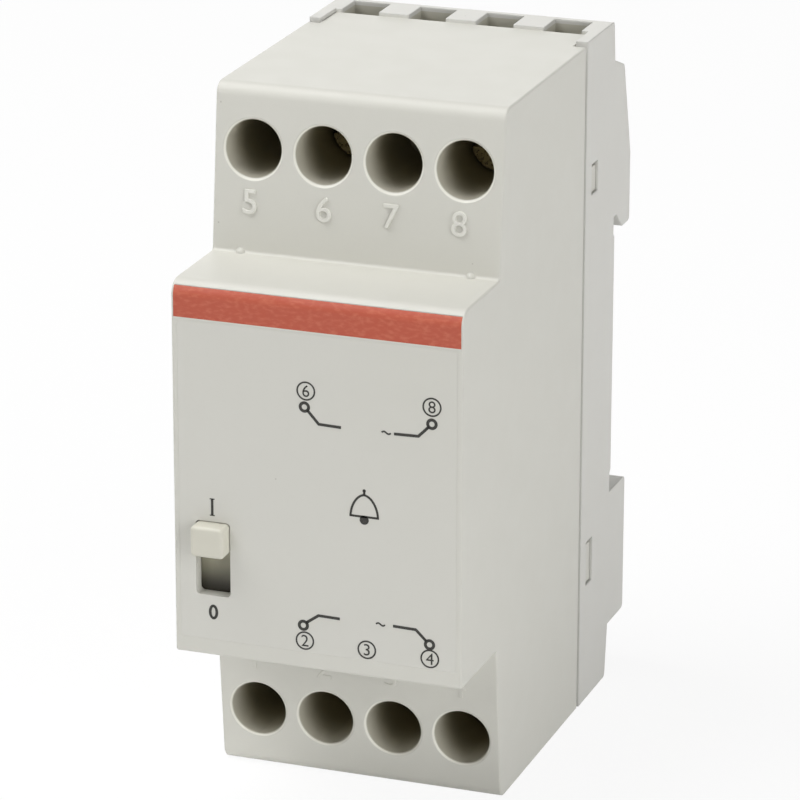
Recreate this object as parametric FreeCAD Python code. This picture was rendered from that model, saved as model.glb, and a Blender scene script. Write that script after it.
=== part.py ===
"""Doorbell transformer for a 35 mm rail: casing, base, switch, terminals and transformer.

Millimetres. X runs to the right seen from the front, Y runs back to the wall, Z runs up.
The origin is the middle of the face that seats on the rail.
"""
import FreeCAD, Part
import math
import os

Vec = FreeCAD.Vector

# Outer form of the housing
WIDTH = 35.0
HEIGHT = 84.0
NOSE_HEIGHT = 45.0
NOSE_REACH = 55.8           # rail seat to the front of the nose
NOSE_STEP = 12.5            # nose front to the shoulder, beside the nose
SHOULDER_LEAN = 1.9         # how far a shoulder falls back towards its outer end
NOSE_ROUND = 1.8            # upper edge of the nose
NOSE_FOOT_ROUND = 0.3       # lower edge of the nose
SHOULDER_ROUND = 1.5
JUNCTION_ROUND = 0.4        # hollow corner between nose and shoulder
EDGE_BREAK = 0.15           # side edges of the casing
WALL = 1.6

HALF_WIDTH = WIDTH / 2
TOP = HEIGHT / 2
NOSE_TOP = NOSE_HEIGHT / 2
NOSE_FRONT = -NOSE_REACH
INNER_FRONT = NOSE_FRONT + WALL
INNER_HALF = HALF_WIDTH - WALL
INNER_TOP = TOP - WALL

# Joint between casing and base
PARTING_REACH = 12.1        # rail seat to the parting line on the sides
GROOVE_WIDTH = 0.8          # dark line round the parting
GROOVE_DEPTH = 0.7
SPIGOT_LENGTH = 3.0
SPIGOT_WALL = 1.0
SPIGOT_SIDE = 15.0          # half height of the spigot along the sides
FIT = 0.1                   # clearance of parts pushed together by hand
CHEEK = 1.5                 # base cheeks beside the casing's rear tongues
TONGUE_REACH = 6.9          # rail seat to the rear edge of the tongues
BASE_RISE = 0.42            # upper end of the base above the casing
PARTING = -PARTING_REACH
CASING_BACK = PARTING - GROOVE_WIDTH / 2
BASE_FRONT = PARTING + GROOVE_WIDTH / 2

# Rail side of the base
RAIL_SEAT_TOP = 15.2
RAIL_SEAT_BOTTOM = -14.8
SEAT_RELIEF = 0.4
HOOK_DEPTH = 6.0            # seat to the back of the hook and feet
HOOK_SHOULDER = 3.0         # hook's back at its top
HOOK_DROP = 4.5             # end face to the start of the hook
HOOK_SHOULDER_DROP = 5.9
LIP_HEIGHT = 15.7
LIP_REACH = 3.0
KNEE_RISE = 8.6             # lip to the knee of the hook's back
RAIL_GROOVE_TOP = 17.8
RAIL_GROOVE_REACH = 0.8
FOOT_TOP = -17.7
FOOT_RISE = 6.7             # lower end face to the feet
FOOT_ROUND = 0.6
BACK_TOP = -1.3             # back face at the upper end
BACK_HOOK = -0.8            # back face where the hook begins
BACK_FOOT = -0.3            # back face under the feet
BACK_BOTTOM = -1.2          # back face at the lower end
BACK_ROUND = 0.5
HOOK_ROUND = 0.9
HOOK_TOP = TOP - HOOK_DROP
HOOK_SHOULDER_HEIGHT = TOP - HOOK_SHOULDER_DROP
HOOK_KNEE_HEIGHT = LIP_HEIGHT + KNEE_RISE
FOOT_BOTTOM = FOOT_RISE - TOP

# Terminal wells, wire entries and chambers
POLE_COUNT = 4
POLE_SIDE = 0.44            # side face to the first pole's share of the width
WELL_END = 7.4              # end face to the well axes
WELL_WEB = 1.73             # plastic between two wells
WELL_LIP = 0.28             # broken edge of a well's mouth
WELL_WALL = 1.2
WELL_FLOOR_REACH = 28.1     # rail seat to the floor of a well
WELL_FLOOR = 1.2
WIRE_WIDTH = 4.7
WIRE_DEPTH = 4.4
PARTITION = 1.0
SHELF_DROP = 6.0            # well axes to the chamber floor
SHELF = 1.2
POLE_PITCH = (WIDTH - POLE_SIDE * 2) / POLE_COUNT
POLES = [(number - (POLE_COUNT - 1) / 2) * POLE_PITCH for number in range(POLE_COUNT)]
WELL_HEIGHT = TOP - WELL_END
WELL_RADIUS = (POLE_PITCH - WELL_WEB) / 2
SHELF_HEIGHT = WELL_HEIGHT - SHELF_DROP
PIP_SIDE = 3.5              # side face to the small pips where nose and shoulder meet
PIP_RADIUS = 0.55
PIP_X = HALF_WIDTH - PIP_SIDE

# Latches
UPPER_LATCH_DROP = 3.6      # chamber floor to the middle of the latch
UPPER_LATCH_HEIGHT = 3.8
LOWER_LATCH_DROP = 4.6
LOWER_LATCH_HEIGHT = 5.7
LATCH_SETBACK = 2.6         # parting line to the front of the windows
LATCH_WINDOW = 2.4          # window size front to back
LATCH_ARM = 1.0             # thickness of a latch arm
LATCH_SUNK = 0.3            # nub face below the base's side face
LATCH_ROOM = 0.6            # nub's top to the top of its window
LATCH_FRONT = PARTING_REACH - LATCH_SETBACK
LATCHES = [(SHELF_HEIGHT - UPPER_LATCH_DROP, UPPER_LATCH_HEIGHT),
           (LOWER_LATCH_DROP - SHELF_HEIGHT, LOWER_LATCH_HEIGHT)]

# Terminals
CAGE_GAP = 0.815            # cage to the partitions beside it
CAGE_HEIGHT = 6.8
CAGE_SIDE = 0.7
CAGE_FRONT = 2.2
CAGE_REAR = 0.9
CAGE_FRONT_REACH = 11.2
CAGE_REAR_REACH = 2.8
BAR_THICK = 1.0
BAR_GAP = 0.15              # bar to the cage's sides
BAR_HEAD_GAP = 0.05         # bar head within the cage's width
BAR_HEAD_HEIGHT = 3.6
BAR_FOOT = 1.3              # bar head below the chamber floor
BAR_SETBACK = 0.2           # wire entry's front to the bars' back
BAR_TIP_GAP = 0.8           # bar end to the end wall
SCREW_RADIUS = 1.75
SCREW_HEAD_GAP = 0.3        # screw head to the wall of its well
SCREW_HOLE_GAP = 0.15       # screw to the hole in the well floor
SCREW_HEAD = 2.6
SCREW_SLOT = 1.0
SCREW_SLOT_DEPTH = 1.2
SCREW_PLAY = 0.05
CAGE_WIDTH = POLE_PITCH - PARTITION - CAGE_GAP * 2
BAR_WIDTH = CAGE_WIDTH - (CAGE_SIDE + BAR_GAP) * 2
BAR_HEAD_WIDTH = CAGE_WIDTH - BAR_HEAD_GAP * 2
BAR_SEAT_REACH = TONGUE_REACH + BAR_SETBACK
SCREW_HEAD_RADIUS = WELL_RADIUS - SCREW_HEAD_GAP
SCREW_HOLE_RADIUS = SCREW_RADIUS + SCREW_HOLE_GAP
UPPER_POLES = {6: 1, 8: 3}
LOWER_POLES = {2: 1, 3: 2, 4: 3}

# Front plate and band
PLATE_THICK = 0.5
PLATE_SIDE = 0.7            # side face to the plate
PLATE_DROP = 4.6            # top of the nose to the plate
PLATE_RISE = 2.0            # bottom of the nose to the plate
BAND_THICK = 0.4
BAND_SIDE = 0.25            # side face to the band
BAND_GAP = 0.35             # plate to the band
BAND_DROP = 0.62            # top of the nose to the band
PLATE_HALF = HALF_WIDTH - PLATE_SIDE
PLATE_TOP = NOSE_TOP - PLATE_DROP
PLATE_BOTTOM = PLATE_RISE - NOSE_TOP
BAND_HALF = HALF_WIDTH - BAND_SIDE
BAND_BOTTOM = PLATE_TOP + BAND_GAP
BAND_TOP = NOSE_TOP - BAND_DROP

# Slide switch
SWITCH_SIDE = 4.75          # side face to the middle of the slot
SLOT_TOP = -6.0
SLOT_LENGTH = 9.1
SLOT_WIDTH = 4.25
KNOB_HEIGHT = 3.7
KNOB_PROUD = 2.0
KNOB_ROUND = 0.5
KNOB_GAP = 0.1              # knob to the slot
FLANGE_COVER = 0.4          # flange past the slot's ends
FLANGE_LAP = 0.375          # flange past the slot's sides
FLANGE_THICK = 1.2
SLIDE_GAP = 0.1
SLIDER_DEPTH = 2.4          # slider behind its flange
BRIDGE_THICK = 0.4
BRIDGE_HEIGHT = 2.6
BRIDGE_GAP = 0.05
CONTACT_THICK = 0.5
CONTACT_WIDTH = 1.8
CONTACT_HEIGHT = 5.0
CONTACT_TAIL = 3.0
CARRIER_THICK = 1.4
CARRIER_LAP = 1.95          # carrier past the slot's ends
CARRIER_RAIL = 0.8
SWITCH_X = SWITCH_SIDE - HALF_WIDTH
KNOB_WIDTH = SLOT_WIDTH - KNOB_GAP * 2
KNOB_TRAVEL = SLOT_LENGTH - KNOB_HEIGHT - KNOB_GAP * 2
FLANGE_WIDTH = SLOT_WIDTH + FLANGE_LAP * 2
FLANGE_HEIGHT = KNOB_HEIGHT + (KNOB_TRAVEL + FLANGE_COVER) * 2
CARRIER_HEIGHT = SLOT_LENGTH + CARRIER_LAP * 2

# Transformer, with the usual proportions of E and I laminations
CORE_END_ROOM = 1.7         # core to the nose's upper and lower wall
CORE_SETBACK = 9.2          # nose front to the front of the core
CORE_FIT = 0.1
CORE_RIB = 1.2
BOBBIN_WALL = 0.9
BOBBIN_END_GAP = 0.1
FLANGE_SIDE_ROOM = 0.9      # bobbin flange to the casing's side wall
WINDOW_GAP = 0.2            # bobbin flange to the core's outer legs
COIL_SINK = 1.6             # winding below the flange edge at the sides
COIL_BUILD = 3.4            # thickness of the windings at the sides
COIL_MARGIN = 0.4           # winding below the flange edge in the window
COIL_ROUND = 3.0
TAPE_THICK = 0.3
CUTOUT_SIZE = (1.2, 6.0, 4.0)
CORE_LONG = NOSE_HEIGHT - (WALL + CORE_END_ROOM) * 2
CORE_LIMB = CORE_LONG / 6
CORE_LEG = CORE_LONG / 3
CORE_DEPTH = CORE_LONG * 5 / 6
CORE_FRONT = NOSE_FRONT + CORE_SETBACK
CORE_BACK = CORE_FRONT + CORE_DEPTH
FLANGE_HALF_X = INNER_HALF - FLANGE_SIDE_ROOM
COIL_HALF_X = FLANGE_HALF_X - COIL_SINK
CORE_STACK = (COIL_HALF_X - COIL_BUILD - BOBBIN_WALL - CORE_FIT) * 2

# Rail clip and its spring
CLIP_HALF = 6.5
CLIP_TONGUE = 0.9
CLIP_TONGUE_THICK = 1.8
CLIP_PLATE = 2.0
CLIP_SUNK = 2.1             # clip's back below the back of the feet
CLIP_NOSE_FRONT = 1.3       # seat to the nose, behind the rail's flange
CLIP_NOSE_TOP = -15.6
CLIP_NOSE_SLOPE = 3.0       # height of the nose's lead-in
CLIP_NOSE_FLAT = 0.7
CLIP_END_RISE = 0.8         # lower end face to the clip's end
CLIP_TRAVEL = 3.0
CLIP_PLAY = 0.1
CLIP_TONGUE_DROP = 2.3      # tops of the feet to the clip's tongues
CLIP_TONGUE_RISE = 0.8      # bottoms of the feet to the clip's tongues
CLIP_EYE = (5.0, 2.0)
CLIP_EYE_RISE = 1.6
CLIP_ROUND = 1.0
CLIP_WINDOW_HALF = 5.4
PEG_RISE = 3.9              # bottoms of the feet to the pegs
PEG_RADIUS = 0.7
PEG_HALF_SPACE = 4.4
SPRING_RADIUS = 0.3
SPRING_BEND = 1.0
SPRING_PRESSED = 4.3        # spring height with the clip pulled down
CLIP_PLATE_REACH = HOOK_DEPTH - CLIP_SUNK
CLIP_NOSE_ROOT = CLIP_NOSE_TOP - CLIP_NOSE_SLOPE
CLIP_BOTTOM = CLIP_END_RISE - TOP
CLIP_TONGUE_TOP = FOOT_TOP - CLIP_TONGUE_DROP
CLIP_TONGUE_BOTTOM = FOOT_BOTTOM + CLIP_TONGUE_RISE
PEG_HEIGHT = FOOT_BOTTOM + PEG_RISE

# Leads
LEAD_RADIUS = 0.6
LEAD_BEND = 1.6


def block(x_span, y_span, z_span):
    """Box between the two ends of each span."""
    low = Vec(min(x_span), min(y_span), min(z_span))
    high = Vec(max(x_span), max(y_span), max(z_span))
    size = high - low
    return Part.makeBox(size.x, size.y, size.z, low)


def rod_along_y(x, z, radius, front, back):
    """Round bar parallel to Y."""
    return Part.makeCylinder(radius, back - front, Vec(x, front, z), Vec(0, 1, 0))


def merged(shapes):
    """One solid from shapes that meet."""
    first = shapes[0]
    return first.fuse(shapes[1:]).removeSplitter()


def corner_arc(before, corner, after, radius):
    """Start, middle and end of the arc that rounds a corner."""
    inward = (before - corner).normalize()
    outward = (after - corner).normalize()
    half = inward.getAngle(outward) / 2
    reach = radius / math.tan(half)
    bisector = (inward + outward).normalize()
    middle = corner + bisector * (radius / math.sin(half) - radius)
    return corner + inward * reach, middle, corner + outward * reach


def rounded_outline(corners):
    """Closed wire through (point, radius) corners, with an arc where the radius is not zero."""
    count = len(corners)
    stretches = []
    for index, (point, radius) in enumerate(corners):
        before = corners[index - 1][0]
        after = corners[(index + 1) % count][0]
        stretches.append(corner_arc(before, point, after, radius) if radius else (point,))
    edges = []
    for index, stretch in enumerate(stretches):
        if len(stretch) == 3:
            edges.append(Part.Arc(*stretch).toShape())
        following = stretches[(index + 1) % count][0]
        edges.append(Part.makeLine(stretch[-1], following))
    return Part.Wire(edges)


def side_prism(outline, x_span):
    """Solid with a side outline of (y, z, radius) corners, between two X values."""
    corners = [(Vec(x_span[0], y, z), radius) for y, z, radius in outline]
    return Part.Face(rounded_outline(corners)).extrude(Vec(x_span[1] - x_span[0], 0, 0))


def front_prism(outline, y_span):
    """Solid with a front outline of (x, z, radius) corners, between two Y values."""
    corners = [(Vec(x, y_span[0], z), radius) for x, z, radius in outline]
    return Part.Face(rounded_outline(corners)).extrude(Vec(0, y_span[1] - y_span[0], 0))


def rectangle(half_x, half_z, radius, middle=(0.0, 0.0)):
    """Outline of an upright rectangle for front_prism."""
    signs = ((-1, -1), (1, -1), (1, 1), (-1, 1))
    return [(middle[0] + sx * half_x, middle[1] + sz * half_z, radius) for sx, sz in signs]


def mirrored_up_down(shape):
    """Copy turned upside down through the middle plane."""
    return shape.mirror(Vec(0, 0, 0), Vec(0, 0, 1))


def both_ends(shape):
    """The shape and its copy at the other end of the housing."""
    return [shape, mirrored_up_down(shape)]


def shoulder_face(height):
    """Y of a shoulder's front face at a height above the middle."""
    share = (height - NOSE_TOP) / (TOP - NOSE_TOP)
    return NOSE_FRONT + NOSE_STEP + SHOULDER_LEAN * share


def casing_outline(inset, back):
    """Side outline of the casing, drawn in by an inset for its hollow."""
    nose = NOSE_TOP - inset
    front = NOSE_FRONT + inset
    step = front + NOSE_STEP
    shoulder = [
        (back, TOP - inset, 0),
        (step + SHOULDER_LEAN, TOP - inset, max(SHOULDER_ROUND - inset, 0)),
        (step, nose, JUNCTION_ROUND + inset),
    ]
    upper = shoulder + [(front, nose, max(NOSE_ROUND - inset, 0))]
    lower = shoulder + [(front, nose, max(NOSE_FOOT_ROUND - inset, 0))]
    return upper + [(y, -z, radius) for y, z, radius in reversed(lower)]


def casing_block():
    """Outer form of the casing, with its side edges broken."""
    solid = side_prism(casing_outline(0, CASING_BACK), (-HALF_WIDTH, HALF_WIDTH))
    rims = [edge for edge in solid.Edges if on_side_rim(edge)]
    return solid.makeChamfer(EDGE_BREAK, rims)


def on_side_rim(edge):
    """True for an edge of the casing's side outline, other than its rear edge."""
    box = edge.BoundBox
    flat = box.XLength < EDGE_BREAK / 10
    outer = abs(abs(box.Center.x) - HALF_WIDTH) < EDGE_BREAK / 10
    rear = box.YMin > CASING_BACK - EDGE_BREAK / 10
    return flat and outer and not rear


def front_layer(depth, half_x, z_span):
    """Skin of the nose front, a given depth thick, over part of its height."""
    outer = side_prism(casing_outline(0, CASING_BACK), (-half_x, half_x))
    core = side_prism(casing_outline(depth, CASING_BACK), (-half_x, half_x))
    strip = block((-half_x, half_x), (NOSE_FRONT, NOSE_FRONT + NOSE_STEP), z_span)
    above = block((-half_x, half_x), (NOSE_FRONT + NOSE_ROUND, CASING_BACK), (-TOP, TOP))
    return outer.common(strip).cut(core).cut(above)


def label_plate():
    """Printed plate set into the nose."""
    return front_layer(PLATE_THICK, PLATE_HALF, (PLATE_BOTTOM, PLATE_TOP)).cut(switch_slot())


def red_band():
    """Strip above the plate, bent over the nose's upper edge."""
    return front_layer(BAND_THICK, BAND_HALF, (BAND_BOTTOM, BAND_TOP))


def plate_recess():
    """Hollow for the plate and the band."""
    return [front_layer(PLATE_THICK, PLATE_HALF, (PLATE_BOTTOM, PLATE_TOP)), red_band()]


def switch_slot():
    """Opening for the knob through the nose front."""
    middle = (SWITCH_X, SLOT_TOP - SLOT_LENGTH / 2)
    outline = rectangle(SLOT_WIDTH / 2, SLOT_LENGTH / 2, KNOB_ROUND, middle)
    return front_prism(outline, (NOSE_FRONT - WALL, INNER_FRONT + WALL))


def well_tubes():
    """Upper screw wells: the tubes behind the shoulder."""
    start = shoulder_face(WELL_HEIGHT) + WALL / 2
    end = -WELL_FLOOR_REACH + WELL_FLOOR
    radius = WELL_RADIUS + WELL_WALL
    return [rod_along_y(x, WELL_HEIGHT, radius, start, end) for x in POLES]


def well_bores():
    """Upper screw wells: what is cut out for the driver and the screw."""
    front = NOSE_FRONT
    end = -WELL_FLOOR_REACH + WELL_FLOOR * 2
    bores = [rod_along_y(x, WELL_HEIGHT, WELL_RADIUS, front, -WELL_FLOOR_REACH) for x in POLES]
    holes = [rod_along_y(x, WELL_HEIGHT, SCREW_HOLE_RADIUS, front, end) for x in POLES]
    return bores + holes


def well_mouth(edge):
    """Whether an edge is the mouth of a screw well."""
    middle = edge.BoundBox.Center
    level = abs(abs(middle.z) - WELL_HEIGHT) < WELL_RADIUS / 10
    return level and abs(middle.y - shoulder_face(WELL_HEIGHT)) < WELL_RADIUS / 10


def nose_pips():
    """Two round upper pips where the nose meets the shoulder."""
    root = shoulder_face(NOSE_TOP)
    return [Part.makeSphere(PIP_RADIUS, Vec(sign * PIP_X, root, NOSE_TOP)) for sign in (-1, 1)]


def rear_tongue():
    """Upper tongue of the casing, between the cheeks of the base."""
    half = HALF_WIDTH - CHEEK - FIT
    return block((-half, half), (CASING_BACK - WALL, -TONGUE_REACH), (INNER_TOP, TOP))


def latch_arms():
    """Four arms with nubs that snap into the base's side windows."""
    arms = []
    outer = INNER_HALF - FIT
    back = -LATCH_FRONT + LATCH_WINDOW - FIT
    root = CASING_BACK - SPIGOT_LENGTH * 2
    for middle, height in LATCHES:
        z_span = (middle - height / 2 + FIT, middle + height / 2 - LATCH_ROOM)
        arm = block((outer - LATCH_ARM, outer), (root, back), z_span)
        foot = block((outer - LATCH_ARM, HALF_WIDTH - WALL / 2), (root, CASING_BACK - FIT), z_span)
        nub = block((outer, HALF_WIDTH - LATCH_SUNK), (-LATCH_FRONT + FIT, back), z_span)
        right = merged([arm, foot, nub])
        arms += [right, right.mirror(Vec(0, 0, 0), Vec(1, 0, 0))]
    return arms


def core_ribs():
    """Ribs inside the nose that hold the core at its front, sides and ends."""
    half_stack = CORE_STACK / 2 + CORE_FIT
    half_long = CORE_LONG / 2 + CORE_FIT
    deep = CORE_FRONT + CORE_LIMB
    ribs = []
    for sign in (-1, 1):
        low = sign * (half_long - CORE_LIMB / 2)
        ribs.append(block((-half_stack / 2, half_stack), (INNER_FRONT - WALL / 2, CORE_FRONT - CORE_FIT),
                          (low, low + sign * CORE_RIB)))
        ribs.append(block((-CORE_RIB / 2, CORE_RIB / 2), (INNER_FRONT - WALL / 2, deep),
                          (sign * half_long, sign * (NOSE_TOP - WALL / 2))))
        for side in (-1, 1):
            ribs.append(block((side * half_stack, side * (INNER_HALF + WALL / 2)), (CORE_FRONT, deep),
                              (sign * CORE_LEG, sign * (CORE_LEG + CORE_RIB))))
    return ribs


def switch_rails():
    """Two rails behind the slot that guide the slider and carry the contact carrier."""
    inner = FLANGE_WIDTH / 2 + SLIDE_GAP
    z_span = (switch_middle() - CARRIER_HEIGHT / 2, switch_middle() + CARRIER_HEIGHT / 2)
    rails = []
    for sign in (-1, 1):
        x_span = (SWITCH_X + sign * inner, SWITCH_X + sign * (inner + CARRIER_RAIL))
        rails.append(block(x_span, (INNER_FRONT - WALL / 2, carrier_front()), z_span))
    return rails


def switch_middle():
    """Height of the middle of the slot."""
    return SLOT_TOP - SLOT_LENGTH / 2


def front_casing():
    """Moulded front shell."""
    outer = casing_block()
    hollow = side_prism(casing_outline(WALL, PARTING), (-INNER_HALF, INNER_HALF))
    tubes = merged(well_tubes()).common(outer)
    tongue = rear_tongue()
    added = both_ends(tubes) + both_ends(tongue) + latch_arms() + core_ribs() + switch_rails()
    for pip in nose_pips():
        added += both_ends(pip)
    shell = merged([outer.cut(hollow)] + added)
    shell = shell.cut(both_ends(merged(well_bores())))
    shell = shell.makeChamfer(WELL_LIP, [edge for edge in shell.Edges if well_mouth(edge)])
    return shell.cut(plate_recess() + [switch_slot()])


def base_outline():
    """Side outline of the base, from the parting round the rail channel."""
    relief = -SEAT_RELIEF
    return [
        (BASE_FRONT, TOP + BASE_RISE, 0),
        (BACK_TOP, TOP + BASE_RISE, BACK_ROUND),
        (BACK_HOOK, HOOK_TOP, 0),
        (HOOK_SHOULDER, HOOK_SHOULDER_HEIGHT, HOOK_ROUND),
        (HOOK_DEPTH, HOOK_KNEE_HEIGHT, HOOK_ROUND),
        (HOOK_DEPTH, LIP_HEIGHT, FOOT_ROUND),
        (LIP_REACH, LIP_HEIGHT, FOOT_ROUND / 2),
        (RAIL_GROOVE_REACH, RAIL_GROOVE_TOP, 0),
        (relief, RAIL_GROOVE_TOP, 0),
        (relief, RAIL_SEAT_TOP + SEAT_RELIEF, 0),
        (0, RAIL_SEAT_TOP, 0),
        (0, RAIL_SEAT_BOTTOM, 0),
        (relief, RAIL_SEAT_BOTTOM - SEAT_RELIEF, 0),
        (relief, FOOT_TOP, 0),
        (HOOK_DEPTH, FOOT_TOP, FOOT_ROUND),
        (HOOK_DEPTH, FOOT_BOTTOM, FOOT_ROUND),
        (BACK_FOOT, FOOT_BOTTOM, 0),
        (BACK_BOTTOM, -TOP, BACK_ROUND),
        (BASE_FRONT, -TOP, 0),
    ]


def base_hollow():
    """Inside of the base, a wall's thickness within its outline."""
    rear = -SEAT_RELIEF - WALL
    hook = HOOK_DEPTH - WALL
    outline = [
        (BASE_FRONT - WALL, INNER_TOP, 0),
        (BACK_TOP - WALL, INNER_TOP, 0),
        (BACK_HOOK - WALL, HOOK_TOP - WALL, 0),
        (HOOK_SHOULDER - WALL, HOOK_SHOULDER_HEIGHT - WALL, 0),
        (hook, HOOK_KNEE_HEIGHT, 0),
        (hook, RAIL_GROOVE_TOP + WALL, 0),
        (rear, RAIL_GROOVE_TOP + WALL, 0),
        (rear, FOOT_TOP - WALL, 0),
        (hook, FOOT_TOP - WALL, 0),
        (hook, FOOT_BOTTOM + WALL, 0),
        (BACK_FOOT - WALL, FOOT_BOTTOM + WALL, 0),
        (BACK_BOTTOM - WALL, -INNER_TOP, 0),
        (BASE_FRONT - WALL, -INNER_TOP, 0),
    ]
    return side_prism(outline, (-INNER_HALF, INNER_HALF))


def spigot():
    """Ring of the base that reaches into the casing, left out beside the terminals."""
    outer_x = INNER_HALF - FIT
    outer_z = INNER_TOP - FIT
    inner_x = outer_x - SPIGOT_WALL
    inner_z = outer_z - SPIGOT_WALL
    y_span = (CASING_BACK - SPIGOT_LENGTH, BASE_FRONT)
    ring = block((-outer_x, outer_x), y_span, (-outer_z, outer_z))
    middle = block((-inner_x, inner_x), y_span, (-inner_z, inner_z))
    gap = block((-WIDTH, WIDTH), y_span, (SPIGOT_SIDE, inner_z))
    return ring.cut([middle] + both_ends(gap))


def parting_land():
    """Inner part of the base's front edge, which the casing's rear edge meets."""
    half = HALF_WIDTH - GROOVE_DEPTH
    high = TOP - GROOVE_DEPTH
    y_span = (CASING_BACK, BASE_FRONT + WALL)
    ring = block((-half, half), y_span, (-high, high))
    inner_z = INNER_TOP - FIT - SPIGOT_WALL
    sides = block((-INNER_HALF, INNER_HALF), y_span, (-inner_z, inner_z))
    spigot_x = INNER_HALF - FIT - SPIGOT_WALL
    beside = [block((sign * spigot_x, sign * INNER_HALF), y_span, (-SPIGOT_SIDE, SPIGOT_SIDE))
              for sign in (-1, 1)]
    return merged([ring.cut(sides)] + beside)


def chamber_walls():
    """Upper terminal chamber: its floor and the partitions between the terminals."""
    end = INNER_TOP - FIT
    floor = block((-INNER_HALF, INNER_HALF), (-BAR_SEAT_REACH, HOOK_DEPTH),
                  (SHELF_HEIGHT, SHELF_HEIGHT + SHELF))
    walls = [floor]
    for number in range(1, POLE_COUNT):
        x = (number - POLE_COUNT / 2) * POLE_PITCH
        walls.append(block((x - PARTITION / 2, x + PARTITION / 2),
                           (CASING_BACK - SPIGOT_LENGTH, HOOK_DEPTH), (SHELF_HEIGHT, end)))
    return walls


def core_cradle():
    """Ribs on the rear wall that carry the back of the core."""
    rear = -SEAT_RELIEF - WALL / 2
    half = CORE_LONG / 2 - CORE_RIB
    ribs = []
    for sign in (-1, 1):
        x = sign * (CORE_STACK / 2 - CORE_RIB)
        ribs.append(block((x - CORE_RIB / 2, x + CORE_RIB / 2), (CORE_BACK + CORE_FIT, rear),
                          (-half, half)))
    return ribs


def wire_notches():
    """Upper wire entries, open to the casing's tongue at their front."""
    back = -TONGUE_REACH + WIRE_DEPTH
    half = WIRE_WIDTH / 2
    return [block((x - half, x + half), (-TONGUE_REACH, back), (INNER_TOP - WALL * 2, TOP + WALL))
            for x in POLES]


def tongue_bed():
    """Room for the casing's upper tongue in the base."""
    half = HALF_WIDTH - CHEEK
    return block((-half, half), (CASING_BACK, -TONGUE_REACH), (INNER_TOP, TOP + WALL))


def latch_windows():
    """Windows through the side walls for the latch nubs."""
    back = -LATCH_FRONT + LATCH_WINDOW
    return [block((-WIDTH, WIDTH), (-LATCH_FRONT, back), (middle - height / 2, middle + height / 2))
            for middle, height in LATCHES]


def clip_channel():
    """Room for the rail clip between the two feet, with grooves for its tongues."""
    half = CLIP_HALF + CLIP_PLAY
    rear = -SEAT_RELIEF
    channel = block((-half, half), (rear, HOOK_DEPTH + WALL), (FOOT_BOTTOM - WALL, FOOT_TOP + WALL))
    groove = half + CLIP_TONGUE
    middle = CLIP_PLATE_REACH - CLIP_PLATE / 2
    deep = CLIP_TONGUE_THICK / 2 + CLIP_PLAY
    side = block((-groove, groove), (middle - deep, middle + deep),
                 (FOOT_BOTTOM - WALL, CLIP_TONGUE_TOP + CLIP_PLAY))
    return [channel, side]


def clip_housing():
    """Walls that close the feet beside and before the clip."""
    half = CLIP_HALF + CLIP_PLAY + CLIP_TONGUE + WALL
    return block((-half, half), (-SEAT_RELIEF - WALL, HOOK_DEPTH), (FOOT_BOTTOM, FOOT_TOP))


def clip_pegs():
    """Two pegs on the base that stop the clip and carry the spring's ends."""
    back = CLIP_PLATE_REACH
    front = -SEAT_RELIEF - WALL / 2
    return [rod_along_y(sign * PEG_HALF_SPACE, PEG_HEIGHT, PEG_RADIUS, front, back) for sign in (-1, 1)]


def rear_base():
    """Moulded base with the rail channel and the terminal chambers."""
    outer = side_prism(base_outline(), (-HALF_WIDTH, HALF_WIDTH))
    walls = merged(chamber_walls())
    fore = block((-INNER_HALF, INNER_HALF), (CASING_BACK - CORE_DEPTH, BASE_FRONT),
                 (-INNER_TOP + FIT, INNER_TOP - FIT))
    room = outer.fuse(fore)
    inside = [wall.common(room) for wall in both_ends(walls)] + core_cradle()
    feet = clip_housing().common(outer)
    shell = merged([outer.cut(base_hollow()), parting_land(), spigot(), feet] + inside)
    cuts = both_ends(tongue_bed()) + latch_windows() + clip_channel()
    for notch in wire_notches():
        cuts += both_ends(notch)
    return merged([shell.cut(cuts)] + clip_pegs())


def clip_window_top():
    """Upper edge of the clip's window at rest, with the clip's travel above the pressed spring."""
    return PEG_HEIGHT + PEG_RADIUS + SPRING_PRESSED + CLIP_TRAVEL


def rail_clip():
    """Sliding clip: plate, guide tongues, nose over the rail, spring window and driver eye."""
    front = CLIP_PLATE_REACH - CLIP_PLATE
    back = CLIP_PLATE_REACH
    middle = (front + back) / 2
    outline = [
        (-CLIP_HALF, CLIP_BOTTOM, CLIP_ROUND),
        (CLIP_HALF, CLIP_BOTTOM, CLIP_ROUND),
        (CLIP_HALF, CLIP_NOSE_ROOT, 0),
        (-CLIP_HALF, CLIP_NOSE_ROOT, 0),
    ]
    plate = front_prism(outline, (front, back))
    nose = side_prism([
        (CLIP_NOSE_FRONT, CLIP_NOSE_ROOT - CLIP_PLATE / 2, 0),
        (CLIP_NOSE_FRONT, CLIP_NOSE_TOP, 0),
        (CLIP_NOSE_FRONT + CLIP_NOSE_FLAT, CLIP_NOSE_TOP, 0),
        (back, CLIP_NOSE_ROOT, 0),
        (back, CLIP_NOSE_ROOT - CLIP_PLATE / 2, 0),
    ], (-CLIP_HALF, CLIP_HALF))
    half = CLIP_HALF + CLIP_TONGUE
    thick = CLIP_TONGUE_THICK / 2
    tongues = block((-half, half), (middle - thick, middle + thick), (CLIP_TONGUE_BOTTOM, CLIP_TONGUE_TOP))
    window = block((-CLIP_WINDOW_HALF, CLIP_WINDOW_HALF), (CLIP_NOSE_FRONT, back),
                   (PEG_HEIGHT - PEG_RADIUS - CLIP_PLAY, clip_window_top()))
    eye = front_prism(rectangle(CLIP_EYE[0] / 2, CLIP_EYE[1] / 2, CLIP_EYE[1] / 3,
                                (0, CLIP_BOTTOM + CLIP_EYE_RISE + CLIP_EYE[1] / 2)), (front, back))
    return merged([plate, nose, tongues]).cut([window, eye])


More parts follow.
